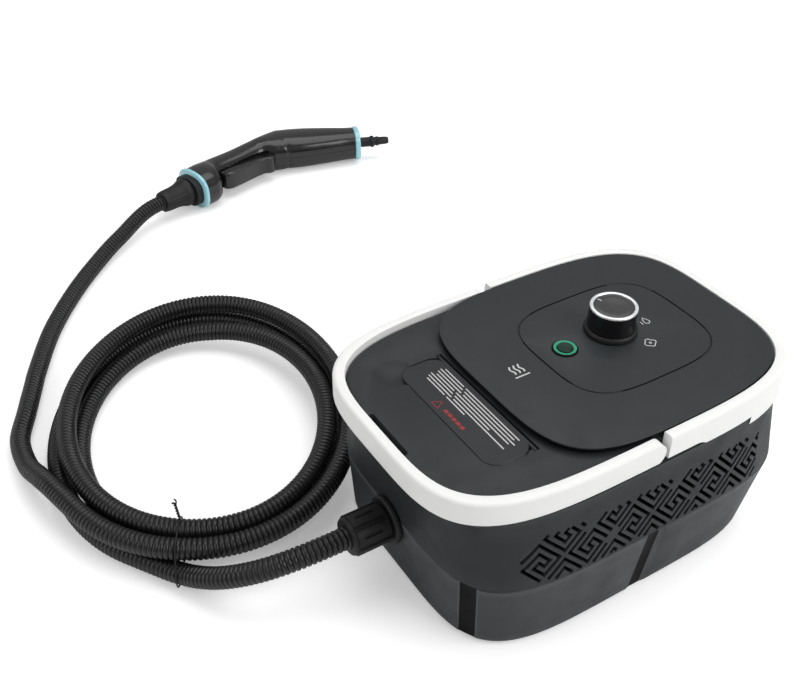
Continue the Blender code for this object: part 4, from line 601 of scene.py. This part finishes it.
def make_pan():
    inset, deep, floor_half, flank_half = 0.0036, 0.0018, 0.0046, 0.0104
    rings = [outline(*sole, 0, pan_power)]
    for share in (0.35, 0.7, 1.0):
        turn = share * pi / 2
        rings.append(between(sole, edge, sin(turn), edge_z * (1 - cos(turn))))
    steps = 8
    for step in range(1, steps + 1):
        share = step / steps
        top = seam_z if step < steps else seam_z - 0.0006
        rings.append(between(edge, seam, share, edge_z + (top - edge_z) * share))
    rings.append(between(seam, seam, 0, seam_z, 0.0006))
    rings.append(between(seam, seam, 0, seam_z, inset))
    rings.append(between(edge, edge, 0, edge_z, inset))
    rings.append(between(sole, sole, 0, inset, inset))
    pan = loft("pan_shell", rings)
    cutters, floors = [], []

    def recess(angle):
        """A trough down the wall whose flanks lean outwards, so that its edges catch the light."""
        low, high = pan_point(angle, 0.001), pan_point(angle, seam_z)
        small = radians(1)
        shape = [(floor_half, -deep), (0.0060, -0.0014), (0.0090, -0.0003), (flank_half, 0.0005), (flank_half, 0.02)]
        across = pan_point(angle + small, seam_z) - pan_point(angle - small, seam_z)
        up = (high - low).normalized()
        outward = across.cross(up).normalized()
        profile = [(-floor_half, -deep)] + shape + [(-u, v) for u, v in shape[:0:-1]]
        cutter = prism("recess", profile, 0, (high - low).length + over)
        turn = Matrix((outward.cross(up), outward, up)).transposed().to_4x4()
        cutter.data.transform(Matrix.Translation(low) @ turn)
        cutters.append(cutter)
        floors.append((low - outward * deep, outward, across.normalized()))

    for angle in (90, -90, 29, -29, 151, -151):
        recess(radians(angle))
    for x in (-0.094, 0.105):
        for y in (-0.069, 0.069):
            cutters.append(turned("bore", mm(((3.3, -3), (3.3, 2.6), (1.8, 2.6), (1.8, 20))), (x, y, 0), sides=24))
    for x, y in ((-1, -1), (1, -1), (1, 1), (-1, 1)):
        seat = (0.00275 + x * 0.068, y * 0.070, 0)
        cutters.append(turned("seat", mm(((10.3, -3), (10.3, 1))), seat, sides=36))
    cutters.append(gland_hole())
    cutters.append(turned("inlet_hole", [(0.0083, 0), (0.0083, 0.03)], (0.123, 0.040, 0.034), (1, 0, 0), sides=36))
    cut(pan, *cutters)
    dress(pan, pan_look, "unit", "base_pan")

    def on_floor(face):
        for point, outward, across in floors:
            away = face.center - point
            if abs(away.dot(outward)) < gap and abs(away.dot(across)) < 0.006 and face.normal.dot(outward) > 0.9:
                return True
        return False

    # painted shade: the recess floors are made near-black
    second_look(pan, black_and_shade_look, on_floor)


make_pan()

# ---- belt with its fret vents
fret = ("111111101",
        "100000101",
        "101110101",
        "101010101",
        "101011101",
        "101000001",
        "101111111",
        "100000000",
        "111111100")


def fret_cutter(side):
    """Square cells, turned a quarter of a turn by halves, extruded through the side wall."""
    pitch, first_x, middle_z, margin = 0.0362, -0.0910, 0.0780, 0.0013
    low, high, left, right = 0.0610, 0.0990, -0.1035, 0.1000
    inner, outer = 0.0860 * side, 0.1120 * side
    tile, root, count = pitch / sqrt(2), sqrt(0.5), len(fret)
    cell = (tile - 2 * margin) / count
    sides = ((-1, 0, (0, 0), (0, 1)), (1, 0, (1, 0), (1, 1)), (0, -1, (0, 0), (1, 0)), (0, 1, (0, 1), (1, 1)))
    tiles = []
    for column in range(6):
        for move, rise, odd in ((0, 0, 0), (0.5, pitch / 2, 1), (0.5, -pitch / 2, 0)):
            tiles.append((first_x + (column + move) * pitch, middle_z + rise, column % 2 == odd))
    work = bmesh.new()
    for tile_x, tile_z, flipped in tiles:
        def spot(i, j):
            u, v = i * cell + margin - tile / 2, j * cell + margin - tile / 2
            return tile_x + (u - v) * root, tile_z + (u + v) * root

        on = set()
        for row in range(count):
            for column in range(count):
                x, z = spot(column + 0.5, row + 0.5)
                mark = fret[row][count - 1 - column] if flipped else fret[row][column]
                if mark == "1" and low < z < high and left < x < right:
                    on.add((column, row))
        on = {(i, j) for i, j in on if {(i + 1, j), (i - 1, j), (i, j + 1), (i, j - 1)} & on}
        corners = {}

        def corner(i, j, level):
            if (i, j, level) not in corners:
                x, z = spot(i, j)
                corners[i, j, level] = work.verts.new((x, level, z))
            return corners[i, j, level]

        for i, j in on:
            for level in (inner, outer):
                work.faces.new([corner(i + a, j + b, level) for a, b in ((0, 0), (1, 0), (1, 1), (0, 1))])
            for di, dj, a, b in sides:
                if (i + di, j + dj) not in on:
                    ends = ((a, inner), (b, inner), (b, outer), (a, outer))
                    work.faces.new([corner(i + end[0], j + end[1], level) for end, level in ends])
    bmesh.ops.recalc_face_normals(work, faces=work.faces)
    mesh = bpy.data.meshes.new("fret")
    work.to_mesh(mesh)
    work.free()
    return placed("fret", mesh)


def make_belt():
    lip, lip_reach = deck_half - wall, deck_reach - wall
    rings = [between(seam, seam, 0, seam_z + gap, 0.0007), between(seam, seam, 0, seam_z + gap + 0.0007)]
    for share in (0.25, 0.5, 0.75, 1.0):
        rings.append(between(seam, neck, share, seam_z + (neck_z - seam_z) * share, power=pan_power - 0.6 * share))
    rings += [
        outline(deck_reach, *neck[1:], lip_z),
        outline(deck_reach, *neck[1:], belt_z),
        evenly(wall, belt_z, lip_reach, lip),
        evenly(wall, belt_z - wall, lip_reach, lip),
        between(neck, neck, 0, neck_z, wall, 4.0),
        between(seam, seam, 0, seam_z + gap, wall),
    ]
    belt = loft("belt_shell", rings, closed=True)
    cut(belt, fret_cutter(-1), fret_cutter(1), gland_hole())
    dress(belt, belt_look, "unit", "belt_casing")


make_belt()


# ---- top deck, lid and panel
def make_deck():
    deck = loft("deck_shell", [evenly(*row) for row in [(0, belt_z + gap)] + shoulder(deck_z, 0.0022)])
    cut(deck, loft("inside", [evenly(wall, z) for z in (belt_z - over, deck_z - wall)]))
    right, floor = lid_x1 + knuckle_r, deck_z - 0.0075
    tray = box("tray", (lid_x0 - 0.0035, lid_y0 - 0.0035, floor), (right + 0.0035, lid_y1 + 0.0035, deck_z - slit))
    dish = turned("dish", [(0.0175, 0), (0.0175, 0.0067)], (dimple_x, dimple_y, floor))
    back = box("back", (-deck_reach + wall / 2, -0.0242, belt_z + gap), (-deck_reach + 0.0072, 0.0242, deck_z - slit))
    boolean(deck, [tray, dish, back], "UNION")
    edges = (lid_y0 - pocket_room, right + pocket_room, lid_y1 + pocket_room)
    pocket = prism("pocket", rounded_box(lid_x0 - pocket_room, *edges, lid_corner), deck_z - lid_thick - gap,
                   deck_z + over)
    groove = box("groove", (lid_x1 - 0.0022, edges[0], deck_z - 0.0038), (*edges[1:], deck_z + over))
    sphere = (dimple_r ** 2 + dimple_deep ** 2) / (2 * dimple_deep)
    bowl = []
    for step in range(13):
        a = asin(dimple_r / sphere) * (step + 0.1) / 12.1
        bowl.append((sphere * sin(a), sphere * (1 - cos(a)) - dimple_deep))
    dimple = turned("dimple", bowl + [(0.0160, 0.0006), (0.0165, 0.003)], (dimple_x, dimple_y, deck_z))
    mouth = turned("mouth", [(0.0156, 0), (0.0156, 0.015)], (-0.086, -0.005, deck_z - 0.01125), sides=48)
    notch = prism("notch", rounded_box(-deck_reach - 0.003, -0.022, -deck_reach + 0.0050, 0.022, 0.0025, 6),
                  deck_z - 0.0085, deck_z + over)
    opening = prism("opening", rounded_box(-0.021, -0.053, 0.115, 0.053, 0.008), floor, deck_z + over)
    cut(deck, pocket, groove, dimple, mouth, notch, opening)
    dress(deck, deck_look, "unit", "top_deck")


def panel_ring(inset, z):
    end_reach, end_power = 0.105, 3.95
    reach, half = deck_reach - inset, deck_half - inset
    middle = (deck_reach + panel_end_x) / 2
    share = acos((middle / reach) ** 2) * 2 / pi
    ring = []
    for a in angles(160):
        if cos(a) >= -1e-6:
            a = asin(sin(a)) * share
            x, y = reach * spow(cos(a), 0.5), half * spow(sin(a), 0.5)
        else:
            x = middle + (end_reach - inset) * spow(cos(a), 2 / end_power)
            y = half * spow(sin(a), 2 / end_power)
        ring.append(Vector((x, y, z)))
    return ring


def make_panel():
    rows = [(0.0020, deck_z + gap)] + mm(((1.8, 1.2), (0.8, 2.2), (0.2, 2.6)), deck_z) + shoulder(panel_z, 0.0010)
    panel = loft("panel_shell", [panel_ring(*row) for row in rows], angle=50)
    cut(panel, loft("inside", [panel_ring(0.0042, deck_z - 0.003), panel_ring(0.0042, panel_z - panel_skin)]))
    half, middle, long, wide = 0.0007, 0.062, 0.046, 0.052
    groove = loft("groove", [
        outline(middle + s * half - long, middle + s * half + long, wide + s * half, z, 3.6)
        for s, z in ((0.3, panel_z - 0.0008), (1, panel_z + 0.0001), (1, panel_z + 0.003), (-1, panel_z + 0.003),
                     (-1, panel_z + 0.0001), (-0.3, panel_z - 0.0008))], closed=True)
    holes = [turned(name, [(r, 0), (r, 0.009)], (x, y, panel_z - 0.0052)) for name, r, x, y in
             (("shaft_hole", 0.0038, dial_x, dial_y), ("button_hole", button_r + gap, button_x, button_y))]
    cut(panel, groove, *holes)
    low = board_top + gap
    posts = [turned("post", [(0.0032, 0), (0.0032, panel_z - panel_skin - low)], (x, y, low), sides=24)
             for x in (-0.010, 0.104) for y in (-0.042, 0.042)]
    panel = merge("panel_cover", [panel] + posts)
    dress(panel, panel_look, "unit", "control_panel")
    # painted shade: the panel's side walls, groove walls and hole walls are made near-black
    second_look(panel, black_and_shade_look, lambda face: abs(face.normal.z) < 0.5 and face.center.z > deck_z)


def make_lid():
    top = deck_z - 0.0001
    rings = []
    for inset, z in ((0.0002, deck_z - lid_thick), (0.0, deck_z - 0.0018), (0.0, top - 0.0004), (0.0004, top)):
        ends = (lid_x0 + inset, lid_y0 + inset, lid_x1 - inset, lid_y1 - inset)
        rings.append([Vector((*p, z)) for p in rounded_box(*ends, lid_corner - pocket_room - inset, 12)])
    lid = loft("lid_plate", rings)
    long, axis_z = lid_y1 - lid_y0, deck_z - knuckle_r
    knuckle = turned("knuckle", [(knuckle_r, 0), (knuckle_r, long)], (lid_x1, lid_y0, axis_z), (0, 1, 0), sides=24)
    boolean(lid, [knuckle], "UNION")
    cut(lid, turned("bore", [(0.0010, 0), (0.0010, long + 2 * over)], (lid_x1, lid_y0 - over, axis_z), (0, 1, 0),
                    sides=24))
    dress(lid, label_look, "lid", "filler_lid")


make_deck()
make_panel()
make_lid()


# ---- printed marks, generic
def ribbon(points, width, z, height=0.00012, closed=False, name="mark"):
    """A flat printed line of the given width."""
    points = [Vector((x, y, 0)) for x, y in points]
    count = len(points)
    left, right = [], []
    for index, point in enumerate(points):
        if closed:
            before, after = points[index - 1], points[(index + 1) % count]
        else:
            before, after = points[max(index - 1, 0)], points[min(index + 1, count - 1)]
        direction = (after - before).normalized()
        normal = Vector((-direction.y, direction.x, 0)) * width / 2
        left.append(point + normal)
        right.append(point - normal)
    vertices, faces = [], []
    for row in (left, right):
        for level in (z, z + height):
            vertices += [Vector((p.x, p.y, level)) for p in row]
    spans = count if closed else count - 1
    for i in range(spans):
        j = (i + 1) % count
        a, b, c, d = (k * count for k in range(4))
        faces += [(a + i, a + j, b + j, b + i), (c + i, d + i, d + j, c + j), (b + i, b + j, d + j, d + i),
                  (a + i, c + i, c + j, a + j)]
    if not closed:
        for i in (0, count - 1):
            faces.append((i, count + i, 3 * count + i, 2 * count + i))
    return add(name, vertices, faces)


def make_marks():
    lift, ink = 0.00002, 0.0007
    z = panel_z + lift
    soft, puff = [], []
    # a cloud with a dot, and a drop with a small stroke, beside the dial
    cloud_x, cloud_y, drop_x, drop_y = 0.0610, -0.0205, 0.0760, 0.0010
    for cx, cy, r, a0, a1 in ((0.0, 0.0026, 0.0020, 20, 160), (-0.0026, 0.0, 0.0020, 90, 250),
            (0.0, -0.0024, 0.0018, 200, 340), (0.0026, 0.0, 0.0020, -70, 90)):
        puff += arc((cloud_x + cx, cloud_y + cy), r, a0, a1, 8)
    soft.append(ribbon(puff, ink, z, closed=True))
    soft.append(ribbon(arc((cloud_x, cloud_y), 0.0008, 0, 360, 24)[:24], 0.0006, z, closed=True))
    drop = [(drop_x + 0.0031 * sin(t) * sin(t / 2) ** 1.4, drop_y + 0.0036 * cos(t))
            for t in [tau * i / 32 for i in range(32)]]
    soft.append(ribbon(drop, ink, z, closed=True))
    soft.append(ribbon([(0.0715, -0.0020 + ink * i) for i in range(6)], ink, z))
    # three rising waves near the panel's edge, over a line
    for k in range(3):
        x0 = -0.0405 + 0.0036 * k
        soft.append(ribbon([(x0 + 0.0007 * sin(i * 0.9), 0.0011 * i) for i in range(9)], 0.0012, z))
    soft.append(ribbon([(-0.0430, -0.0030), (-0.0310, -0.0030)], 0.0011, z))
    dress(merge("panel_marks", soft), print_look, "unit")
    # the lid's plain lines, with a triangle and blank blocks in red
    top, half_break = deck_z - 0.0001 + lift, 0.0012
    lines = []
    for row, (first, last) in enumerate(((0.035, -0.048), (0.037, -0.046), (0.036, -0.050), (0.034, -0.047),
            (0.037, -0.030), (0.036, -0.049), (0.034, -0.010))):
        x, split = -0.0735 - row * 0.0026, 0.012 - 0.0022 * (row % 3)
        for y0, y1 in ((first, split + half_break), (split - half_break, last)):
            lines.append(ribbon([(x, y0), (x, y1)], 0.0009, top))
    dress(merge("label_lines", lines), print_look, "lid")
    reds = [ribbon([(-0.1005, 0.0118), (-0.1005, 0.0042), (-0.0942, 0.0080)], 0.0011, top, closed=True)]
    reds += [ribbon([(-0.0975, y - 0.0046 * k) for y in (0.0005, -0.0031)], 0.0026, top) for k in range(5)]
    dress(merge("label_lines_red", reds), print_red, "lid")


make_marks()


# ---- white band: handle and trim
def band(name, low, high):
    points, edge = 200, shoulder(high, 0.0024, 6)
    sides = [(inset, low + high - z) for inset, z in reversed(edge)] + edge
    rings = [evenly(inset, z, band_reach, band_half, points) for inset, z in sides]
    for inset, z in ((0.0008, high), (0.0002, high - 0.0003), (0.0, high - 0.0009), (0.0, low)):
        rings.append(evenly(-inset, z, band_reach - band_thick, band_half - band_thick, points))
    return loft(name, rings, closed=True, angle=50)


def make_band():
    handle = band("bail_handle", band_low, band_high)
    reach, far = band_half + over, -band_reach - over
    stadium = arc((pivot_x, pivot_z), end_radius, -90, 90, 24)
    stadium += [(pivot_x, band_high + over), (far, band_high + over), (far, band_low - over),
                (pivot_x, band_low - over)]
    boolean(handle, [prism("keep", stadium, -reach, reach, "y")], "INTERSECT")
    for side in (-1, 1):
        cut(handle, turned("bore", [(0.0029, 0), (0.0029, 0.0078)], (pivot_x, side * (deck_half - over), pivot_z),
                           (0, side, 0), sides=36))
    soften(handle, 0.0009, 3, 60)
    dress(handle, white_look, "handle", "carry_handle")
    trim_low, trim_step, slope_x0, slope_x1 = 0.109, 0.121, 0.031, 0.058
    trim = band("end_trim", trim_low, panel_z)
    start = pivot_x + end_radius + 0.0030
    below = [(start - 0.006, trim_step)]
    for index in range(17):
        s = index / 16
        below.append((slope_x0 + 0.027 * s, trim_step + (trim_low - trim_step) * (1 - cos(pi * s)) / 2))
    below += [(slope_x1, 0.106), (start - 0.006, 0.106)]
    beyond = [(start, 0.103), (start, panel_z + over), (far, panel_z + over), (far, 0.103)]
    cut(trim, prism("beyond", beyond, -reach, reach, "y"), prism("below", below, -reach, reach, "y"),
        loft("belt_room", [outline(deck_reach, neck[1] + slit, neck[2] + slit, z) for z in (0.106, belt_z + gap)]))
    soften(trim, 0.0007, 2, 60)
    dress(trim, white_look, "unit", "rear_trim")


make_band()


# ---- dial and button
def make_dial():
    centre, base, crown = (dial_x, dial_y, 0), panel_z + gap, panel_z + dial_h
    inner = dial_r - 0.0026
    foot = mm(((14.5, 0), (19, 0), (19.2, 0.8), (19, 3), (18.4, 4), (17.4, 4.5), (14.5, 4.5)), base)
    dress(turned("dial_foot", foot, centre, closed=True), matte_black, "dial", "dial_skirt")
    barrel = mm(((3.3, 0), (14.1, 0), (14.1, 4.8), (17, 4.8), (17.6, 5.3), (17.6, 6.2)), base)
    barrel += mm(((16.9, -3.2), (16.8, -1.9), (3.3, -1.9)), crown)
    dress(turned("dial_barrel", barrel, centre, closed=True), gloss_black, "dial", "dial_body")
    profile = [(inner, crown - 0.0016), (dial_r, crown - 0.0016)]
    for step in range(7):
        a = pi * step / 6
        profile.append(((dial_r + inner) / 2 + 0.0013 * cos(a), crown - 0.0008 + 0.0008 * sin(a)))
    dress(turned("dial_bezel", profile, centre, closed=True), chrome_look, "dial", "dial_ring")
    edge = inner - gap
    disc = [(edge, crown - 0.0016), (edge, crown - 0.0007), (edge - 0.0004, crown - 0.0004)]
    disc += mm(((9.5, -0.6), (6, -1), (2, -1.2), (0.2, -1.2)), crown)
    dress(turned("dial_disc", disc, centre), cap_look, "dial", "dial_cap")
    a = radians(112)
    pointer = ribbon([(dial_x + r * cos(a), dial_y + r * sin(a)) for r in (0.0098, 0.0128)], 0.0009,
                     crown - 0.00052, 0.0002, name="dial_pointer")
    dress(pointer, print_look, "dial")


def make_button():
    centre, low, rim = (button_x, button_y, 0), panel_z + gap, 0.0011
    profile = [(button_r + gap, low), (lamp_r, low), (lamp_r, low + 0.0003), (lamp_r - 0.0005, low + 0.0008)]
    profile += [(lamp_r - 0.0012, low + 0.0010), (button_r + 0.0012, low + 0.0010), (button_r + gap, low + 0.0006)]
    ring = turned("lamp_ring", profile, centre, closed=True)
    dress(ring, lamp_look, "unit", "button_ring")
    second_look(ring, black_and_shade_look,
                lambda face: hypot(face.center.x - button_x, face.center.y - button_y) > lamp_r - rim)
    top = low + 0.0009 + 0.0010
    shape = [(button_r, top - 0.0066), (button_r, top - 0.0006), (button_r - 0.0005, top - 0.0001),
             (button_r - 0.0011, top), (0.0030, top - 0.0004), (0.0002, top - 0.0006)]
    push = turned("push_cap", shape, centre, sides=64)
    face_look = look("button_face", (0.007, 0.026, 0.019), 0.40, depth=0.05, specular=0.2)
    dress(push, face_look, "button", "power_button")


make_dial()
make_button()


# ---- hose gland
def make_gland():
    neck = 0.0122
    face = neck + 0.0034
    plate = [(gland_neck_r, 0), (gland_neck_r, neck), (0.0180, neck), (0.0181, neck + 0.0010),
             (0.0178, face - 0.0008), (0.0170, face), (0.0040, face), (0.0040, 0)]
    flange = turned("gland_plate", plate, (gland_start, gland_y, gland_z), (-1, 0, 0), closed=True)
    dress(flange, matte_black, "unit", "gland_flange")

    def pads(radius, distance, angle):
        """Six raised pads with a slot down the middle of each."""
        if radius < 0.012:
            return radius
        turn = (angle / tau * 6) % 1.0
        across = abs(turn - 0.5)
        if not 0.0018 < distance < 0.0262:
            return radius - 0.0011
        if across > 0.40:
            return radius - 0.0013
        if across < 0.075 and 0.0085 < distance < 0.0215:
            return radius - 0.0012
        return radius

    outer = [(14.1, 0)] + [(14.7, d) for d in (1, 1.7, 1.9, 3, 8.4, 8.6, 15, 21.4, 21.6, 24, 26.1, 26.3, 27.8)]
    outer += [(14, 28.8), (13.3, 29), (8.3, 29), (8.3, 19.5), (4, 19.5), (4, 0)]
    nut = turned("gland_cap", mm(outer), (gland_start - face - gap, gland_y, gland_z), (-1, 0, 0), sides=144,
                 closed=True, shape=pads, angle=30)
    dress(nut, matte_black, "unit", "gland_nut")


make_gland()


# ---- gun
def section(centre, lean, top, bottom, half, power=2.6, points=56):
    up = Vector((-sin(lean), 0, cos(lean)))
    ring = []
    for a in angles(points):
        rise = (top + bottom) / 2 + (top - bottom) / 2 * spow(sin(a), 2 / power)
        ring.append(centre + up * rise + Vector((0, half * spow(cos(a), 2 / power), 0)))
    return ring


def held(t, a, b, c, d):
    """Cubic from b to c whose slopes are held down where the row turns, so it can't overshoot."""
    left = (c - a) / 2 if (b - a) * (c - b) > 0 else 0
    right = (d - b) / 2 if (c - b) * (d - c) > 0 else 0
    return cubic(t, b, left, c, right)


def gun_rings(inset, extension):
    """Smooth sections from the handle's rear through the bend to the muzzle."""
    fine, stations, rings = 6, [], []
    for index, (distance, *sizes) in enumerate(handle_shares):
        along = distance * handle_length + (extension if index == 0 else 0)
        stations.append((gun_point(along, 0), handle_slope, *sizes))
    for index, (distance, *sizes) in enumerate(barrel_shares):
        along = distance * barrel_length + (extension if index == len(barrel_shares) - 1 else 0)
        stations.append((Vector((along, 0, 0)), handle_slope / 2 if index == 0 else 0, *sizes))
    last = len(stations) - 1
    for i in range(last):
        near = [stations[min(max(i + k, 0), last)] for k in (-1, 0, 1, 2)]
        for step in range(fine if i < last - 1 else fine + 1):
            t = step / fine
            lean, top, bottom, width = (held(t, *[row[k] for row in near]) for k in (1, 2, 3, 4))
            rings.append(section(near[1][0].lerp(near[2][0], t), lean, top * gun_high - inset,
                                 bottom * gun_high + inset, width * gun_wide - inset))
    return rings


def gun_prism(name, points, low, high):
    return loft(name, [[gun_point(a, r, level) for a, r in points] for level in (low, high)])


def to_gun(piece, finish, body, node):
    piece.data.transform(gun_frame)
    dress(piece, finish, body, node)


def gun_ring(name, centre_at, lean, high, wide, width, swell, taper, bore, finish, node):
    """A ring or collar across the gun, its rim swelling between its two faces."""
    rings = []
    for step in range(9):
        t = step / 8
        grow = swell * sqrt(max(1 - (2 * t - 1) ** 4, 0)) - taper * t
        rings.append(section(centre_at(width * t), lean, high + grow, -high - grow, wide + grow))
    for offset in (width, 0):
        rings.append(section(centre_at(offset), lean, bore, -bore, bore, 2.0))
    to_gun(loft(name, rings, closed=True), finish, "unit", node)


def make_gun():
    reach, room = handle_length + barrel_length, 0.0012
    for name, node, side in (("gun_half_right", "gun_shell_right", -1), ("gun_half_left", "gun_shell_left", 1)):
        shell = loft(name, gun_rings(0, 0))
        hollow = loft("hollow", gun_rings(0.0022, 0.003))
        low, high = (-reach, 0.00015) if side > 0 else (-0.00015, reach)
        other = box("other", (-reach, low, -reach), (reach, high, reach))
        start, end, roof = 0.027 - room, 0.095 + room, -0.0025 + room
        slot = gun_prism("slot", [(start, roof), (end, roof), (end, -0.049), (start, -0.049)], -0.0107, 0.0107)
        cut(shell, other, hollow, slot)
        to_gun(shell, gun_look, "unit", node)
    shape = mm(((27, -2.5), (27, -19.2), (28.3, -21.5), (30.5, -22.8), (33.5, -22.8), (36, -22), (38.2, -20),
                (41, -18.4), (50, -17.6), (62, -18), (74, -18.4), (84.9, -18.4), (90, -17.6), (93.8, -15.2),
                (95, -12.9), (95, -2.5)))
    trigger = gun_prism("lever", shape, -0.0095, 0.0095)
    soften(trigger, 0.0012, 3, 30)
    ear = [(0.019 + u, -0.001 + v) for u, v in arc((0, 0), 0.0052, 60, 270, 16)]
    ear += [(0.027 + 0.0052, -0.0025 - 0.0052), (0.027 + 0.0104, -0.0025 - slit)]
    boolean(trigger, [gun_prism("ear", ear, -0.0040, 0.0040)], "UNION")
    cut(trigger, turned("bore", [(0.0019, -0.0052), (0.0019, 0.0052)], gun_point(0.019, -0.001), (0, 1, 0),
                        sides=24))
    to_gun(trigger, gun_look, "trigger", "trigger")

    start, high, wide = handle_length + gap, 0.98 * gun_high, 0.98 * gun_wide
    gun_ring("rear_band", lambda d: gun_point(start + d, 0), handle_slope, high, wide, 0.0040, 0.0010, 0, 0.0028,
             cyan_look, "rear_ring")
    gun_ring("rear_cuff", lambda d: gun_point(start + 0.0043 + d, 0), handle_slope, high * 0.80, wide * 0.80, 0.0075,
             0, 0, 0.0028, matte_black, "rear_collar")
    broad = gun_wide * 0.80 * 0.98 - slit

    def knurl(radius, distance, angle):
        """A row of shallow grip flutes."""
        if radius < 0.0100:
            return radius
        if 0.006 < distance < 0.030:
            return radius - 0.0006 * (0.5 + 0.5 * cos(angle * 12)) ** 3
        return radius

    profile = [(broad - 0.0006, 0.0), (broad, 0.0006), (broad, 0.0060), (broad - 0.0008, 0.0080)]
    profile += mm(((12.8, 12), (12, 18), (11.8, 25), (11.7, 29), (11.2, 32), (11, 33.4), (10.4, 34), (8.3, 34),
                   (8.3, 24.5), (2.8, 24.5), (2.8, 0)))
    back = gun_point(1, 0) - gun_point(0, 0)
    to_gun(turned("hose_sleeve", profile, gun_point(connector_start, 0), back, sides=96, closed=True, shape=knurl),
           matte_black, "unit", "hose_connector")

    gun_ring("muzzle_band", lambda d: Vector((barrel_length + gap + d, 0, 0)), 0, 0.71 * gun_high, 0.86 * gun_wide,
             0.006, 0.0012, 0.0004, 0.0085, cyan_look, "muzzle_ring")

    profile = mm(((1.2, -6), (8.2, -6), (8.2, 5.8), (7.4, 6.6), (6, 7.2), (5.7, 9), (5.7, 19.6), (6.1, 20.6),
                  (6.9, 21.4), (6.9, 23.4), (6.4, 24), (5.2, 24.4), (5, 27), (5.5, 27.6), (5.5, 29.4), (4.8, 30.2),
                  (4.4, 38), (4, 41.2), (3.5, 42), (1.2, 42)), barrel_length)
    to_gun(turned("spout", profile, (0, 0, 0), (1, 0, 0), sides=48, closed=True), matte_black, "nozzle", "nozzle")


make_gun()

# ---- CAD nodes that stay, with their finishes
finishes = (
    (steel_look, "handle_pin_near handle_pin_far lid_hinge_pin dial_shaft casing_screw_1 casing_screw_2"),
    (steel_look, "casing_screw_3 casing_screw_4 boiler_bracket thermal_fuse trigger_pin trigger_spring"),
    (rubber_look, "lid_seal foot_1 foot_2 foot_3 foot_4 pump_cradle mains_inlet"),
    (matte_black, "dial_switch button_switch pump gun_switch"),
    (tube_look, "steam_tube suction_tube pressure_tube gun_steam_tube"),
    (tank_look, "water_tank"), (cast_look, "boiler"), (gloss_black, "thermostat"),
    (laminate_look, "control_board"), (wire_look, "mains_wires"), (wire_white, "heater_wires"),
)
for finish, names in finishes:
    for name in names.split():
        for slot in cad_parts[name].material_slots:
            slot.material = finish


# ---- floor and light
def make_stage():
    """A floor that looks white to the camera and keeps the shadows, its paleness growing with distance."""
    size, near, distant, near_lift = 30.0, 0.6, 2.0, 0.30
    mesh = bpy.data.meshes.new("floor")
    mesh.from_pydata([(-size, -size, table), (size, -size, table), (size, size, table), (-size, size, table)], [],
                     [(0, 1, 2, 3)])
    floor = placed("floor", mesh)
    made, tree, link, shader = material("pale_floor")
    put(shader, Base_Color=(0.93, 0.93, 0.93, 1), Roughness=0.9, Specular_IOR_Level=0.1)
    far = node(tree, "MapRange", From_Min=near, From_Max=distant, To_Min=near_lift, To_Max=1.0)
    away, share, lift, both = (node(tree, kind) for kind in ("VectorMath", "Math", "Emission", "AddShader"))
    away.operation, share.operation = "LENGTH", "MULTIPLY"
    link(node(tree, "TexCoord").outputs["Object"], away.inputs[0])
    link(away.outputs["Value"], far.inputs["Value"])
    link(node(tree, "LightPath").outputs["Is Camera Ray"], share.inputs[0])
    link(far.outputs["Result"], share.inputs[1])
    link(share.outputs["Value"], lift.inputs["Strength"])
    link(shader.outputs["BSDF"], both.inputs[0])
    link(lift.outputs["Emission"], both.inputs[1])
    link(both.outputs["Shader"], tree.nodes["Material Output"].inputs["Surface"])
    mesh.materials.append(made)


def area(name, place, target, size, watts):
    data = bpy.data.lights.new(name, "AREA")
    data.shape = "RECTANGLE"
    data.size, data.size_y = size
    data.energy = watts
    lamp = placed(name, data)
    lamp.location = place
    lamp.rotation_euler = (Vector(target) - Vector(place)).to_track_quat("-Z", "Y").to_euler()


def make_light():
    area("key_light", (0.70, -1.15, 1.15), (-0.05, 0.1, 0.0), (1.2, 0.9), 16.5)
    area("top_light", (0.3, 0.5, 1.7), (-0.05, 0.2, 0.0), (1.6, 1.6), 16.5)
    area("fill_light", (-1.7, 0.4, 0.9), (-0.1, 0.1, 0.05), (1.2, 1.0), 7)
    world = bpy.data.worlds.new("studio")
    world.use_nodes = True
    background = world.node_tree.nodes["Background"]
    background.inputs["Color"].default_value = (1.0, 1.0, 1.0, 1)
    background.inputs["Strength"].default_value = 0.42
    bpy.context.scene.world = world
    bpy.context.scene.view_settings.view_transform = "Standard"


make_stage()
make_light()
